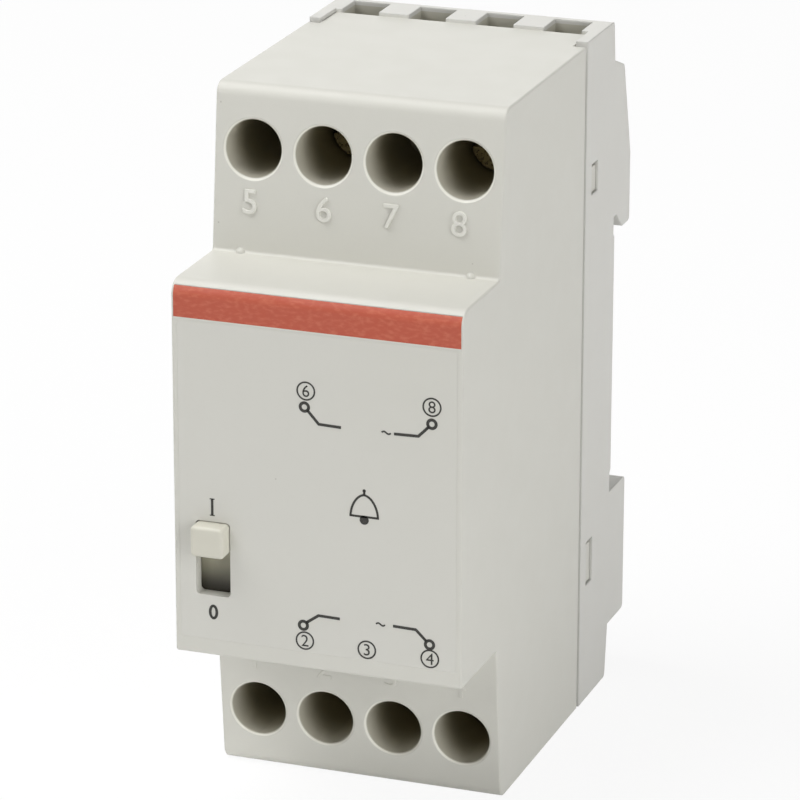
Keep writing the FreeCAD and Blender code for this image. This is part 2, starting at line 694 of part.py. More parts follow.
def bent_tube(points, radius, bend):
    """Round wire along straight runs joined by arcs."""
    corners = [Vec(*point) for point in points]
    edges = []
    start = corners[0]
    for before, corner, after in zip(corners, corners[1:], corners[2:]):
        arc = corner_arc(before, corner, after, bend)
        edges += [Part.makeLine(start, arc[0]), Part.Arc(*arc).toShape()]
        start = arc[2]
    edges.append(Part.makeLine(start, corners[-1]))
    direction = corners[1] - corners[0]
    section = Part.Wire([Part.makeCircle(radius, corners[0], direction)])
    return Part.Wire(edges).makePipeShell([section], True, False)


def clip_spring():
    """Bent wire between the pegs and the upper edge of the clip's window."""
    y = CLIP_PLATE_REACH - CLIP_PLATE / 2
    low = PEG_HEIGHT + PEG_RADIUS + SPRING_RADIUS + CLIP_PLAY
    apex = clip_window_top() - SPRING_RADIUS - CLIP_PLAY
    run = PEG_HALF_SPACE
    lean = math.atan2(apex - low, run)
    rise = SPRING_BEND * (1 / math.cos(lean) - 1)
    points = [(-run, y, low), (0, y, apex + rise), (run, y, low)]
    return bent_tube(points, SPRING_RADIUS, SPRING_BEND)


def flange_front():
    """Front of the slider's flange, just behind the nose wall."""
    return INNER_FRONT + SLIDE_GAP


def bridge_back():
    """Back of the moving contact."""
    return flange_front() + FLANGE_THICK + SLIDER_DEPTH + BRIDGE_THICK


def carrier_front():
    """Front of the plate that carries the fixed contacts."""
    return bridge_back() + BRIDGE_GAP + CONTACT_THICK


def knob_middle():
    """Height of the knob's middle, pushed up to its on position."""
    return SLOT_TOP - KNOB_GAP - KNOB_HEIGHT / 2


def switch_knob():
    """Knob with a crowned face, its flange and the slider behind it."""
    height = knob_middle()
    cap = front_prism(rectangle(KNOB_WIDTH / 2, KNOB_HEIGHT / 2, KNOB_ROUND, (SWITCH_X, height)),
                      (NOSE_FRONT - KNOB_PROUD, flange_front()))
    rim = [edge for edge in cap.Edges if edge.BoundBox.YMax < NOSE_FRONT - KNOB_PROUD + KNOB_ROUND / 10]
    cap = cap.makeFillet(KNOB_ROUND * 0.8, rim)
    back = flange_front() + FLANGE_THICK
    flange = front_prism(rectangle(FLANGE_WIDTH / 2, FLANGE_HEIGHT / 2, KNOB_ROUND, (SWITCH_X, height)),
                         (flange_front(), back))
    slider = front_prism(rectangle(KNOB_WIDTH / 2, KNOB_HEIGHT / 2, KNOB_ROUND, (SWITCH_X, height)),
                         (back, back + SLIDER_DEPTH))
    return merged([cap, flange, slider])


def contact_bridge():
    """Moving contact strip on the back of the slider."""
    half = FLANGE_WIDTH / 2 - SLIDE_GAP
    outline = rectangle(half, BRIDGE_HEIGHT / 2, KNOB_ROUND, (SWITCH_X, knob_middle()))
    return front_prism(outline, (bridge_back() - BRIDGE_THICK, bridge_back()))


def contact_x(sign):
    """Middle of the left (-1) or right (1) fixed contact."""
    return SWITCH_X + sign * (FLANGE_WIDTH / 2 - CONTACT_WIDTH / 2)


def contact_top():
    """Upper end of the fixed contacts' tails."""
    return switch_middle() + CARRIER_HEIGHT / 2 + CONTACT_TAIL


def switch_contact(sign):
    """Fixed contact strip with a tail for its lead."""
    low = knob_middle() - CONTACT_HEIGHT / 2
    x = contact_x(sign)
    return block((x - CONTACT_WIDTH / 2, x + CONTACT_WIDTH / 2),
                 (carrier_front() - CONTACT_THICK, carrier_front()), (low, contact_top()))


def switch_carrier():
    """Insulating plate across the two rails, from the casing's side wall inwards."""
    left = -INNER_HALF + FIT
    right = SWITCH_X + FLANGE_WIDTH / 2 + SLIDE_GAP + CARRIER_RAIL
    outline = rectangle((right - left) / 2, CARRIER_HEIGHT / 2, KNOB_ROUND,
                        ((left + right) / 2, switch_middle()))
    return front_prism(outline, (carrier_front(), carrier_front() + CARRIER_THICK))


def core_e_stack():
    """E laminations: yoke at the back, three legs forward."""
    half_x = CORE_STACK / 2
    half_z = CORE_LONG / 2
    front = CORE_FRONT + CORE_LIMB
    stack = block((-half_x, half_x), (front, CORE_BACK), (-half_z, half_z))
    windows = [block((-half_x, half_x), (front, CORE_BACK - CORE_LIMB),
                     (sign * CORE_LEG / 2, sign * (half_z - CORE_LIMB))) for sign in (-1, 1)]
    return stack.cut(windows)


def core_i_stack():
    """I laminations across the front of the legs."""
    half_x = CORE_STACK / 2
    half_z = CORE_LONG / 2
    return block((-half_x, half_x), (CORE_FRONT, CORE_FRONT + CORE_LIMB), (-half_z, half_z))


def coil_span():
    """Front and back of the bobbin in the core's windows."""
    front = CORE_FRONT + CORE_LIMB + BOBBIN_END_GAP
    back = CORE_BACK - CORE_LIMB - BOBBIN_END_GAP
    return front, back


def tube_half():
    """Outer half sizes of the bobbin's tube."""
    half_x = CORE_STACK / 2 + CORE_FIT + BOBBIN_WALL
    half_z = CORE_LEG / 2 + CORE_FIT + BOBBIN_WALL
    return half_x, half_z


def flange_half_z():
    """Half height of the bobbin's flanges in the windows."""
    return CORE_LONG / 2 - CORE_LIMB - WINDOW_GAP


def bobbin():
    """Coil former with three flanges."""
    front, back = coil_span()
    half_x, half_z = tube_half()
    middle = (front + back - BOBBIN_WALL) / 2
    parts = [front_prism(rectangle(half_x, half_z, BOBBIN_WALL), (front, back))]
    for y in (front, middle, back - BOBBIN_WALL):
        parts.append(front_prism(rectangle(FLANGE_HALF_X, flange_half_z(), BOBBIN_WALL),
                                 (y, y + BOBBIN_WALL)))
    leg = block((-half_x + BOBBIN_WALL, half_x - BOBBIN_WALL), (front, back),
                (-half_z + BOBBIN_WALL, half_z - BOBBIN_WALL))
    return merged(parts).cut(leg)


def winding_span(section):
    """Front and back of the winding in section 0 (primary) or 1 (secondary)."""
    front, back = coil_span()
    middle = (front + back - BOBBIN_WALL) / 2
    if section == 0:
        return front + BOBBIN_WALL, middle
    return middle + BOBBIN_WALL, back - BOBBIN_WALL


def coil_half_z():
    """Half height of the windings."""
    return flange_half_z() - COIL_MARGIN - TAPE_THICK


def winding(section):
    """Copper winding round the bobbin's tube."""
    span = winding_span(section)
    half_x, half_z = tube_half()
    outer = front_prism(rectangle(COIL_HALF_X, coil_half_z(), COIL_ROUND), span)
    return outer.cut(front_prism(rectangle(half_x, half_z, BOBBIN_WALL), span))


def winding_tape(section):
    """Insulating tape round a winding."""
    span = winding_span(section)
    outer = front_prism(rectangle(COIL_HALF_X + TAPE_THICK, coil_half_z() + TAPE_THICK,
                                  COIL_ROUND + TAPE_THICK), span)
    return outer.cut(front_prism(rectangle(COIL_HALF_X, coil_half_z(), COIL_ROUND), span))


def cutout_middle():
    """Middle of the thermal cut-out on the right of the primary."""
    front, back = winding_span(0)
    return Vec(COIL_HALF_X + TAPE_THICK + CUTOUT_SIZE[0] / 2, (front + back) / 2, 0)


def thermal_cutout():
    """Flat thermal cut-out on the primary's tape."""
    thick, long, high = CUTOUT_SIZE
    middle = cutout_middle()
    outline = [(middle.x + sx * thick / 2, sz * high / 2, thick / 4)
               for sx, sz in ((-1, -1), (1, -1), (1, 1), (-1, 1))]
    return front_prism(outline, (middle.y - long / 2, middle.y + long / 2))


def bar_end():
    """Inner end of the upper bars, where their leads are soldered."""
    return SHELF_HEIGHT - BAR_FOOT


def terminal_bar(x):
    """Upper terminal bar: a head on the chamber floor's edge and a stem into the cage."""
    front = -BAR_SEAT_REACH - BAR_THICK
    head = BAR_HEAD_WIDTH / 2
    neck = bar_end() + BAR_HEAD_HEIGHT
    stem = BAR_WIDTH / 2
    tip = INNER_TOP - FIT - SPIGOT_WALL - BAR_TIP_GAP
    outline = [
        (x - head, bar_end(), 0),
        (x + head, bar_end(), 0),
        (x + head, neck, 0),
        (x + stem, neck, 0),
        (x + stem, tip, BAR_THICK),
        (x - stem, tip, BAR_THICK),
        (x - stem, neck, 0),
        (x - head, neck, 0),
    ]
    return front_prism(outline, (front, front + BAR_THICK))


def terminal_cage(x):
    """Upper lift cage, open towards the wire entry."""
    half = CAGE_WIDTH / 2
    z_span = (WELL_HEIGHT - CAGE_HEIGHT / 2, WELL_HEIGHT + CAGE_HEIGHT / 2)
    front = -CAGE_FRONT_REACH
    back = -CAGE_REAR_REACH
    body = block((x - half, x + half), (front, back), z_span)
    inner = half - CAGE_SIDE
    room = block((x - inner, x + inner), (front + CAGE_FRONT, back - CAGE_REAR), z_span)
    hole = rod_along_y(x, WELL_HEIGHT, SCREW_RADIUS + SCREW_PLAY, front, front + CAGE_FRONT)
    return body.cut([room, hole])


def terminal_screw(x):
    """Upper terminal screw, its head on the well floor and its tip on the bar."""
    head_back = -WELL_FLOOR_REACH - SCREW_PLAY
    head_front = head_back - SCREW_HEAD
    tip = -BAR_SEAT_REACH - BAR_THICK - SCREW_PLAY
    head = rod_along_y(x, WELL_HEIGHT, SCREW_HEAD_RADIUS, head_front, head_back)
    shank = rod_along_y(x, WELL_HEIGHT, SCREW_RADIUS, head_back, tip)
    slot = block((x - SCREW_HEAD_RADIUS, x + SCREW_HEAD_RADIUS),
                 (head_front, head_front + SCREW_SLOT_DEPTH),
                 (WELL_HEIGHT - SCREW_SLOT / 2, WELL_HEIGHT + SCREW_SLOT / 2))
    return merged([head, shank]).cut(slot)


def lead_routes():
    """Route of each lead, from its terminal or contact to the winding."""
    bar_y = -BAR_SEAT_REACH - BAR_THICK / 2
    end = bar_end()
    primary = sum(winding_span(0)) / 2
    second_front, second_back = winding_span(1)
    second = (second_front + second_back) / 2
    coil_top = coil_half_z() + TAPE_THICK
    beside = CORE_STACK / 2 + LEAD_RADIUS * 2
    over = CORE_LONG / 2 + LEAD_RADIUS
    under = coil_top + LEAD_BEND * 2
    left, right = contact_x(-1), contact_x(1)
    contact_y = carrier_front() - CONTACT_THICK / 2
    tail = contact_top()
    turn = coil_top + LEAD_BEND * 3
    cut = cutout_middle()
    first, last = second_front + LEAD_BEND, second_back - LEAD_BEND
    return {
        "lead_6": [(POLES[1], bar_y, end), (POLES[1], bar_y, over), (left, bar_y, over),
                   (left, contact_y, over), (left, contact_y, tail)],
        "lead_switch": [(right, contact_y, tail), (right, contact_y, turn),
                        (-beside, primary, turn), (-beside, primary, coil_top)],
        "lead_8": [(POLES[3], bar_y, end), (POLES[3], bar_y, over), (cut.x, cut.y, over),
                   (cut.x, cut.y, CUTOUT_SIZE[2] / 2)],
        "lead_2": [(POLES[1], bar_y, -end), (POLES[1], bar_y, -over), (-beside, bar_y, -over),
                   (-beside, second, -over), (-beside, second, -coil_top)],
        "lead_3": [(POLES[2], bar_y, -end), (POLES[2], bar_y, -over), (beside, bar_y, -over),
                   (beside, first, -over), (beside, first, -coil_top)],
        "lead_4": [(POLES[3], bar_y, -end), (POLES[3], bar_y, -under), (beside, last, -under),
                   (beside, last, -coil_top)],
    }


def terminal_nodes():
    """Bars, cages and screws at both ends."""
    nodes = {}
    screws = []
    for poles, upper in ((UPPER_POLES, True), (LOWER_POLES, False)):
        for mark, place in poles.items():
            x = POLES[place]
            pieces = [terminal_bar(x), terminal_cage(x), terminal_screw(x)]
            if not upper:
                pieces = [mirrored_up_down(piece) for piece in pieces]
            nodes[f"terminal_bar_{mark}"], nodes[f"terminal_cage_{mark}"] = pieces[:2]
            screws.append(pieces[2])
    nodes["terminal_screws"] = Part.makeCompound(screws)
    return nodes


def all_nodes():
    """Every piece of the transformer by name."""
    nodes = {
        "front_casing": front_casing(),
        "rear_base": rear_base(),
        "label_plate": label_plate(),
        "red_band": red_band(),
        "switch_knob": switch_knob(),
        "contact_bridge": contact_bridge(),
        "switch_contact_in": switch_contact(-1),
        "switch_contact_out": switch_contact(1),
        "switch_carrier": switch_carrier(),
        "core_e_stack": core_e_stack(),
        "core_i_stack": core_i_stack(),
        "bobbin": bobbin(),
        "primary_winding": winding(0),
        "secondary_winding": winding(1),
        "primary_tape": winding_tape(0),
        "secondary_tape": winding_tape(1),
        "thermal_cutout": thermal_cutout(),
        "rail_clip": rail_clip(),
        "clip_spring": clip_spring(),
    }
    nodes.update(terminal_nodes())
    for name, points in lead_routes().items():
        nodes[name] = bent_tube(points, LEAD_RADIUS, LEAD_BEND)
    return nodes


def main():
    """Write one STEP file for each piece."""
    os.makedirs("parts", exist_ok=True)
    for name, shape in all_nodes().items():
        shape.exportStep(f"parts/{name}.step")
        print(name, len(shape.Solids), round(shape.Volume, 2), shape.isValid())


main()
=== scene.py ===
"""Looks of a doorbell transformer for a top-hat rail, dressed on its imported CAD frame.

Lengths in the classes are millimetres and become metres where a mesh, a lamp or a shader takes
them. X runs to the right seen from the front, Y back to the wall and Z up, from the rail seat.
"""
import logging
import math
from collections.abc import Sequence
from dataclasses import dataclass, field
from enum import Enum

import bmesh
import bpy
from mathutils import Matrix, Vector


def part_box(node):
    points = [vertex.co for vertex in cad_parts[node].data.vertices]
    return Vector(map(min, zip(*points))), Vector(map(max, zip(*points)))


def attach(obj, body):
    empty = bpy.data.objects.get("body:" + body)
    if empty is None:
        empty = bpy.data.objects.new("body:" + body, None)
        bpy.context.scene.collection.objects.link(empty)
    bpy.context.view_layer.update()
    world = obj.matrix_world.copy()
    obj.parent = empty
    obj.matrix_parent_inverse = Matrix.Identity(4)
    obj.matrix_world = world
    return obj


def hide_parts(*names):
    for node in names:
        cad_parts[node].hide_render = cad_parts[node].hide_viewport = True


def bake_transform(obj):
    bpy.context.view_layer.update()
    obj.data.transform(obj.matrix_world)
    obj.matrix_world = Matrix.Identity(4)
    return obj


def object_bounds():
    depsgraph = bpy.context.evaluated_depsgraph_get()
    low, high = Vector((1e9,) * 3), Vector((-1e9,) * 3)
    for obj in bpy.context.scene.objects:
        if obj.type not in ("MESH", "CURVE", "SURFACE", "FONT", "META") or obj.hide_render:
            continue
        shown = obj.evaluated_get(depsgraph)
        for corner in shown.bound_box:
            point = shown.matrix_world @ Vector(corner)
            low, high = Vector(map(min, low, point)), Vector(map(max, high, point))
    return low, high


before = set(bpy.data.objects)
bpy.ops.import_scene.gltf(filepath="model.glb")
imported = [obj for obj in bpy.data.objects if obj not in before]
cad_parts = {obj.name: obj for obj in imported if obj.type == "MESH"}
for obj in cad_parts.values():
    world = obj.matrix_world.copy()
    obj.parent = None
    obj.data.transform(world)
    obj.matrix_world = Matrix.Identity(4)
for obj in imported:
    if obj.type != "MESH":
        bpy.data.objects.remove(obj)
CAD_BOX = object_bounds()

LOG = logging.getLogger("bell_transformer")
MM = 0.001

Point = tuple[float, float]
Colour = tuple[float, float, float, float]
Feed = bpy.types.NodeSocket | float | tuple


class Body(Enum):
    """Bodies that pieces ride on."""

    HOUSING = "housing"
    CLIP = "clip"


class Slot(Enum):
    """Names of material slots for new pieces; they are passed along but not used."""

    HOUSING = "housing_plastic"
    PRINT = "plate_print"
    SPRING = "spring_steel"


def srgb(red: int, green: int, blue: int) -> Colour:
    """Turn a colour as a screen shows it into the linear one that shaders take.

    Args:
        red: red, 0 to 255.
        green: green, 0 to 255.
        blue: blue, 0 to 255.

    Returns:
        Linear red, green, blue and an alpha of one.
    """
    shares = (value / 255.0 for value in (red, green, blue))
    linear = [s / 12.92 if s <= 0.04045 else ((s + 0.055) / 1.055) ** 2.4 for s in shares]
    return linear[0], linear[1], linear[2], 1.0


DUST = srgb(112, 104, 88)
WHITE: Colour = (1.0, 1.0, 1.0, 1.0)
GLOSS_RANGE = (0.3, 0.7)
EDGE_STEPS = 2


class Graph:
    """Adds nodes to one shader tree and joins them up."""

    def __init__(self, tree: bpy.types.NodeTree) -> None:
        """Keep the tree that the nodes go into."""
        self.tree = tree

    def add(self, kind: str, **settings: object) -> bpy.types.Node:
        """Add one node.

        Args:
            kind: Blender's name for the type of node.
            settings: properties to set on it.

        Returns:
            The new node.
        """
        node = self.tree.nodes.new(kind)
        for name, value in settings.items():
            setattr(node, name, value)
        return node

    def feed(self, socket: bpy.types.NodeSocket, value: Feed) -> None:
        """Link an input to another node's output, or set its own value.

        Args:
            socket: the input.
            value: an output to link, or a number, vector or colour.
        """
        if isinstance(value, bpy.types.NodeSocket):
            self.tree.links.new(value, socket)
        else:
            socket.default_value = value

    def math(self, operation: str, first: Feed, second: Feed = 0.0) -> bpy.types.NodeSocket:
        """Work out one number.

        Args:
            operation: Blender's name for the sum.
            first: its first term.
            second: its second term, where it has one.

        Returns:
            The result.
        """
        node = self.add("ShaderNodeMath", operation=operation)
        self.feed(node.inputs[0], first)
        self.feed(node.inputs[1], second)
        return node.outputs[0]

    def span(self, value: Feed, low: float, high: float,
             to_low: float = 0.0, to_high: float = 1.0) -> bpy.types.NodeSocket:
        """Ease a value from one range into another and hold it at the ends.

        Args:
            value: the value.
            low: start of its range.
            high: end of its range.
            to_low: result at the start.
            to_high: result at the end.

        Returns:
            The eased value.
        """
        node = self.add("ShaderNodeMapRange", interpolation_type="SMOOTHSTEP")
        for index, number in enumerate((value, low, high, to_low, to_high)):
            self.feed(node.inputs[index], number)
        return node.outputs[0]

    def blend(self, share: Feed, first: Feed, second: Feed) -> bpy.types.NodeSocket:
        """Mix two colours.

        Args:
            share: how much of the second one shows.
            first: the first colour.
            second: the second colour.

        Returns:
            The mixed colour.
        """
        node = self.add("ShaderNodeMix", data_type="RGBA")
        for index, value in ((0, share), (6, first), (7, second)):
            self.feed(node.inputs[index], value)
        return node.outputs[2]

    def place(self) -> bpy.types.NodeSocket:
        """Give the point on the surface in the piece's own metres."""
        return self.add("ShaderNodeTexCoord").outputs["Object"]

    def noise(self, vector: Feed, scale: Feed, detail: float = 2.0) -> bpy.types.NodeSocket:
        """Lay a cloudy noise over the surface.

        Args:
            vector: the point to read it at.
            scale: clouds to a metre.
            detail: how many finer layers it has.

        Returns:
            The noise, about a half on average.
        """
        node = self.add("ShaderNodeTexNoise")
        self.feed(node.inputs["Vector"], vector)
        self.feed(node.inputs["Scale"], scale)
        self.feed(node.inputs["Detail"], detail)
        return node.outputs["Fac"]


class Effects:
    """Shader groups that several finishes share, each built once.

    Scales are counts to a metre, ranges the part of a noise that shows.
    """

    CLOUD_SCALE = 25.0
    CLOUD_RANGE = (0.2, 0.8)
    GLOSS_SCALE = 260.0
    SPECK_SCALE = 420.0
    SPECK_RADII = (0.02, 0.06)
    SPECK_SHADE = 0.35
    SPECK_RARITY = 0.9
    LINE_GAP = 0.38
    SCRATCH_DRAW = (1.0, 0.08, 1.0)
    SCRATCH_RANGE = (0.35, 0.65)
    STAIN_SCALE = 320.0
    STAIN_RANGE = (0.46, 0.7)

    def __init__(self) -> None:
        """Build the groups."""
        self.grain = self._moulded_grain()
        self.lines = self._fine_lines()
        self.wear = self._metal_wear()
        self.poles = self._pole_row()

    @staticmethod
    def _group(name: str, inputs: dict[str, float | tuple],
               outputs: Sequence[str]) -> tuple[Graph, bpy.types.Node, bpy.types.Node]:
        """Start a group with named sockets.

        Args:
            name: the group's name.
            inputs: its inputs and what each starts at.
            outputs: its outputs, all numbers.

        Returns:
            The group's graph, its input node and its output node.
        """
        tree = bpy.data.node_groups.new(name, "ShaderNodeTree")
        for label, value in inputs.items():
            kind = "NodeSocketVector" if isinstance(value, tuple) else "NodeSocketFloat"
            socket = tree.interface.new_socket(label, in_out="INPUT", socket_type=kind)
            socket.default_value = value
        for label in outputs:
            tree.interface.new_socket(label, in_out="OUTPUT", socket_type="NodeSocketFloat")
        graph = Graph(tree)
        return graph, graph.add("NodeGroupInput"), graph.add("NodeGroupOutput")

    def _moulded_grain(self) -> bpy.types.NodeTree:
        """Build the grain of a moulded surface: fine height, clouding, gloss and dark specks."""
        graph, given, out = self._group(
            "moulded_grain", {"Scale": 3000.0, "Stretch": (1.0, 1.0, 1.0)},
            ("Height", "Tone", "Gloss", "Speck"))
        point = graph.place()
        drawn = graph.add("ShaderNodeVectorMath", operation="MULTIPLY")
        graph.feed(drawn.inputs[0], point)
        graph.feed(drawn.inputs[1], given.outputs["Stretch"])
        graph.feed(out.inputs["Height"], graph.noise(
            drawn.outputs["Vector"], given.outputs["Scale"], detail=3.0))
        clouds = graph.noise(point, self.CLOUD_SCALE, detail=2.0)
        graph.feed(out.inputs["Tone"], graph.span(clouds, *self.CLOUD_RANGE))
        graph.feed(out.inputs["Gloss"], graph.noise(point, self.GLOSS_SCALE, detail=3.0))
        cells = graph.add("ShaderNodeTexVoronoi")
        graph.feed(cells.inputs["Vector"], point)
        graph.feed(cells.inputs["Scale"], self.SPECK_SCALE)
        near = graph.span(cells.outputs["Distance"], *self.SPECK_RADII, self.SPECK_SHADE, 0.0)
        split = graph.add("ShaderNodeSeparateColor")
        graph.feed(split.inputs[0], cells.outputs["Color"])
        rare = graph.math("GREATER_THAN", split.outputs[0], self.SPECK_RARITY)
        graph.feed(out.inputs["Speck"], graph.math("MULTIPLY", near, rare))
        return graph.tree

    def _fine_lines(self) -> bpy.types.NodeTree:
        """Build parallel lines: a ridge each, the gap between two, and a tone for each."""
        graph, given, out = self._group(
            "fine_lines", {"Axis": (1.0, 0.0, 0.0), "Pitch": 0.0005}, ("Ridge", "Gap", "Tone"))
        along = graph.add("ShaderNodeVectorMath", operation="DOT_PRODUCT")
        graph.feed(along.inputs[0], graph.place())
        graph.feed(along.inputs[1], given.outputs["Axis"])
        turn = graph.math("DIVIDE", along.outputs["Value"], given.outputs["Pitch"])
        side = graph.math("ABSOLUTE", graph.math("SUBTRACT", graph.math("FRACT", turn), 0.5))
        graph.feed(out.inputs["Ridge"], graph.span(side, 0.0, 0.5, 1.0, 0.0))
        graph.feed(out.inputs["Gap"], graph.span(side, self.LINE_GAP, 0.5))
        count = graph.add("ShaderNodeTexWhiteNoise", noise_dimensions="1D")
        graph.feed(count.inputs["W"], graph.math("FLOOR", turn))
        graph.feed(out.inputs["Tone"], count.outputs["Value"])
        return graph.tree

    def _metal_wear(self) -> bpy.types.NodeTree:
        """Build the wear of plated metal: drawn scratches, dull stains and a fine height."""
        graph, given, out = self._group(
            "metal_wear", {"Scale": 1500.0}, ("Scratch", "Stain", "Height"))
        point = graph.place()
        drawn = graph.add("ShaderNodeMapping")
        graph.feed(drawn.inputs["Vector"], point)
        graph.feed(drawn.inputs["Scale"], self.SCRATCH_DRAW)
        scratch = graph.noise(drawn.outputs["Vector"], given.outputs["Scale"], detail=4.0)
        graph.feed(out.inputs["Scratch"], graph.span(scratch, *self.SCRATCH_RANGE))
        stains = graph.noise(point, self.STAIN_SCALE, detail=5.0)
        graph.feed(out.inputs["Stain"], graph.span(stains, *self.STAIN_RANGE))
        graph.feed(out.inputs["Height"], scratch)
        return graph.tree

    def _pole_row(self) -> bpy.types.NodeTree:
        """Build the place beside the four poles of an end: across the nearest, up and in."""
        graph, given, out = self._group("pole_row", {"Pitch": 0.008}, ("Across", "Up", "In"))
        split = graph.add("ShaderNodeSeparateXYZ")
        graph.feed(split.inputs[0], graph.place())
        pitch = given.outputs["Pitch"]
        pair = graph.math("SUBTRACT", graph.math("ABSOLUTE", split.outputs["X"]), pitch)
        half = graph.math("MULTIPLY", pitch, 0.5)
        graph.feed(out.inputs["Across"], graph.math(
            "ABSOLUTE", graph.math("SUBTRACT", graph.math("ABSOLUTE", pair), half)))
        graph.feed(out.inputs["Up"], graph.math("ABSOLUTE", split.outputs["Z"]))
        graph.feed(out.inputs["In"], split.outputs["Y"])
        return graph.tree

    @staticmethod
    def use(graph: Graph, group: bpy.types.NodeTree, **values: Feed) -> bpy.types.NodeOutputs:
        """Place a group in a material.

        Args:
            graph: the material's graph.
            group: the group.
            values: what its named inputs take.

        Returns:
            The group's outputs.
        """
        node = graph.add("ShaderNodeGroup", node_tree=group)
        for label, value in values.items():
            graph.feed(node.inputs[label], value)
        return node.outputs


@dataclass(frozen=True, kw_only=True)
class Finish:
    """What every finish has, the swing of its roughness too, and how it becomes a material."""

    name: str
    colour: Colour
    roughness: float = 0.5
    smoother: float = 0.0
    rougher: float = 0.0
    edge_round: float = 0.0

    def material(self, effects: Effects) -> bpy.types.Material:
        """Return this finish's material, made at the first call.

        Args:
            effects: the shared shader groups.

        Returns:
            The material.
        """
        made = bpy.data.materials.get(self.name)
        if made is None:
            made = bpy.data.materials.new(self.name)
            made.use_nodes = True
            self.paint(Graph(made.node_tree), made.node_tree.nodes["Principled BSDF"], effects)
        return made

    def paint(self, graph: Graph, shader: bpy.types.Node, effects: Effects) -> None:
        """Feed the shader; each finish does this in its own way."""
        raise NotImplementedError

    def sheen(self, graph: Graph, shader: bpy.types.Node, share: Feed,
              low: float = 0.0, high: float = 1.0) -> None:
        """Let the roughness vary over the surface.

        Args:
            graph: the material's graph.
            shader: its shader.
            share: what it varies with.
            low: where it is smoothest.
            high: where it is roughest.
        """
        graph.feed(shader.inputs["Roughness"], graph.span(
            share, low, high, self.roughness - self.smoother, self.roughness + self.rougher))

    def relief(self, graph: Graph, shader: bpy.types.Node, height: Feed, depth: float) -> None:
        """Give the surface its fine relief, on edges that are softened a little.

        Args:
            graph: the material's graph.
            shader: its shader.
            height: the relief, 0 to 1.
            depth: how deep it is, in mm.
        """
        bump = graph.add("ShaderNodeBump")
        bump.inputs["Distance"].default_value = depth * MM
        graph.feed(bump.inputs["Height"], height)
        if self.edge_round:
            edge = graph.add("ShaderNodeBevel", samples=6)
            edge.inputs["Radius"].default_value = self.edge_round * MM
            graph.feed(bump.inputs["Normal"], edge.outputs["Normal"])
        graph.feed(shader.inputs["Normal"], bump.outputs["Normal"])


@dataclass(frozen=True, kw_only=True)
class MouldedPlastic(Finish):
    """Moulded plastic with a fine matt grain, faint clouding and a few dark specks."""

    clouded: Colour
    grain: float = 0.35
    depth: float = 0.008
    smoother: float = 0.03
    rougher: float = 0.03

    def paint(self, graph: Graph, shader: bpy.types.Node, effects: Effects) -> None:
        """Feed the shader with the grain."""
        grain = effects.use(graph, effects.grain, Scale=1.0 / (self.grain * MM))
        clouded = graph.blend(grain["Tone"], self.colour, self.clouded)
        specked = graph.blend(grain["Speck"], clouded, DUST)
        # with_painted_light adds painted shade in hollows and painted highlights on rims where a
        # subclass has them
        graph.feed(shader.inputs["Base Color"], self.with_painted_light(graph, specked, effects))
        self.sheen(graph, shader, grain["Gloss"], *GLOSS_RANGE)
        self.relief(graph, shader, grain["Height"], self.depth)

    def with_painted_light(self, graph: Graph, colour: bpy.types.NodeSocket,
               effects: Effects) -> bpy.types.NodeSocket:
        """Paint shade into hollows and highlights on rims in the subclasses; plain plastic has
        none.
        """
        return colour


@dataclass(frozen=True, kw_only=True)
class WelledPlastic(MouldedPlastic):
    """Casing plastic with painted shade in its screw wells, darker the deeper they go, and a
    painted highlight ringing their mouths.
    """

    pitch: float = 8.53
    level: float = 34.6
    radius: float = 3.4
    face: float = -42.12
    reach: float = 8.0
    mouth: float = 0.45
    # painted shade: the colour deep in the wells
    deep: Colour = srgb(152, 144, 118)
    wall_slack: float = 0.05
    rim: float = 0.2
    rim_soft: float = 0.1
    rim_fade: float = 1.4
    rim_depth: float = 1.0
    # painted highlight ringing the mouth of each well
    rim_painted_highlight: Colour = srgb(222, 221, 211)

    def with_painted_light(self, graph: Graph, colour: bpy.types.NodeSocket,
               effects: Effects) -> bpy.types.NodeSocket:
        """Paint shade on the walls and floors of the wells, and a painted highlight on the rims of
        their mouths.

        Args:
            graph: the material's graph.
            colour: the plastic's colour.
            effects: the shared shader groups.

        Returns:
            The colour with painted shade in the wells and painted highlights on their rims.
        """
        row = effects.use(graph, effects.poles, Pitch=self.pitch * MM)
        up = graph.math("SUBTRACT", row["Up"], self.level * MM)
        away = graph.math("SQRT", graph.math(
            "ADD", graph.math("MULTIPLY", row["Across"], row["Across"]),
            graph.math("MULTIPLY", up, up)))
        # painted shade, deepening from the mouth of each well inwards
        inside = graph.math("LESS_THAN", away, (self.radius + self.wall_slack) * MM)
        depth = graph.span(row["In"], self.face * MM, (self.face + self.reach) * MM, self.mouth)
        sunk = graph.math("GREATER_THAN", row["In"], self.face * MM)
        share = graph.math("MULTIPLY", graph.math("MULTIPLY", inside, sunk), depth)
        # painted highlight: a pale ring round each mouth, on the front face only
        beyond = graph.math("SUBTRACT", away, self.radius * MM)
        rim = graph.math(
            "MULTIPLY", graph.span(beyond, 0.0, self.rim_soft * MM),
            graph.span(beyond, self.rim * MM, self.rim_fade * self.rim * MM, 1.0, 0.0))
        front = graph.math("LESS_THAN", row["In"], (self.face + self.rim_depth) * MM)
        ringed = graph.blend(graph.math("MULTIPLY", rim, front), colour, self.rim_painted_highlight)
        return graph.blend(share, ringed, self.deep)


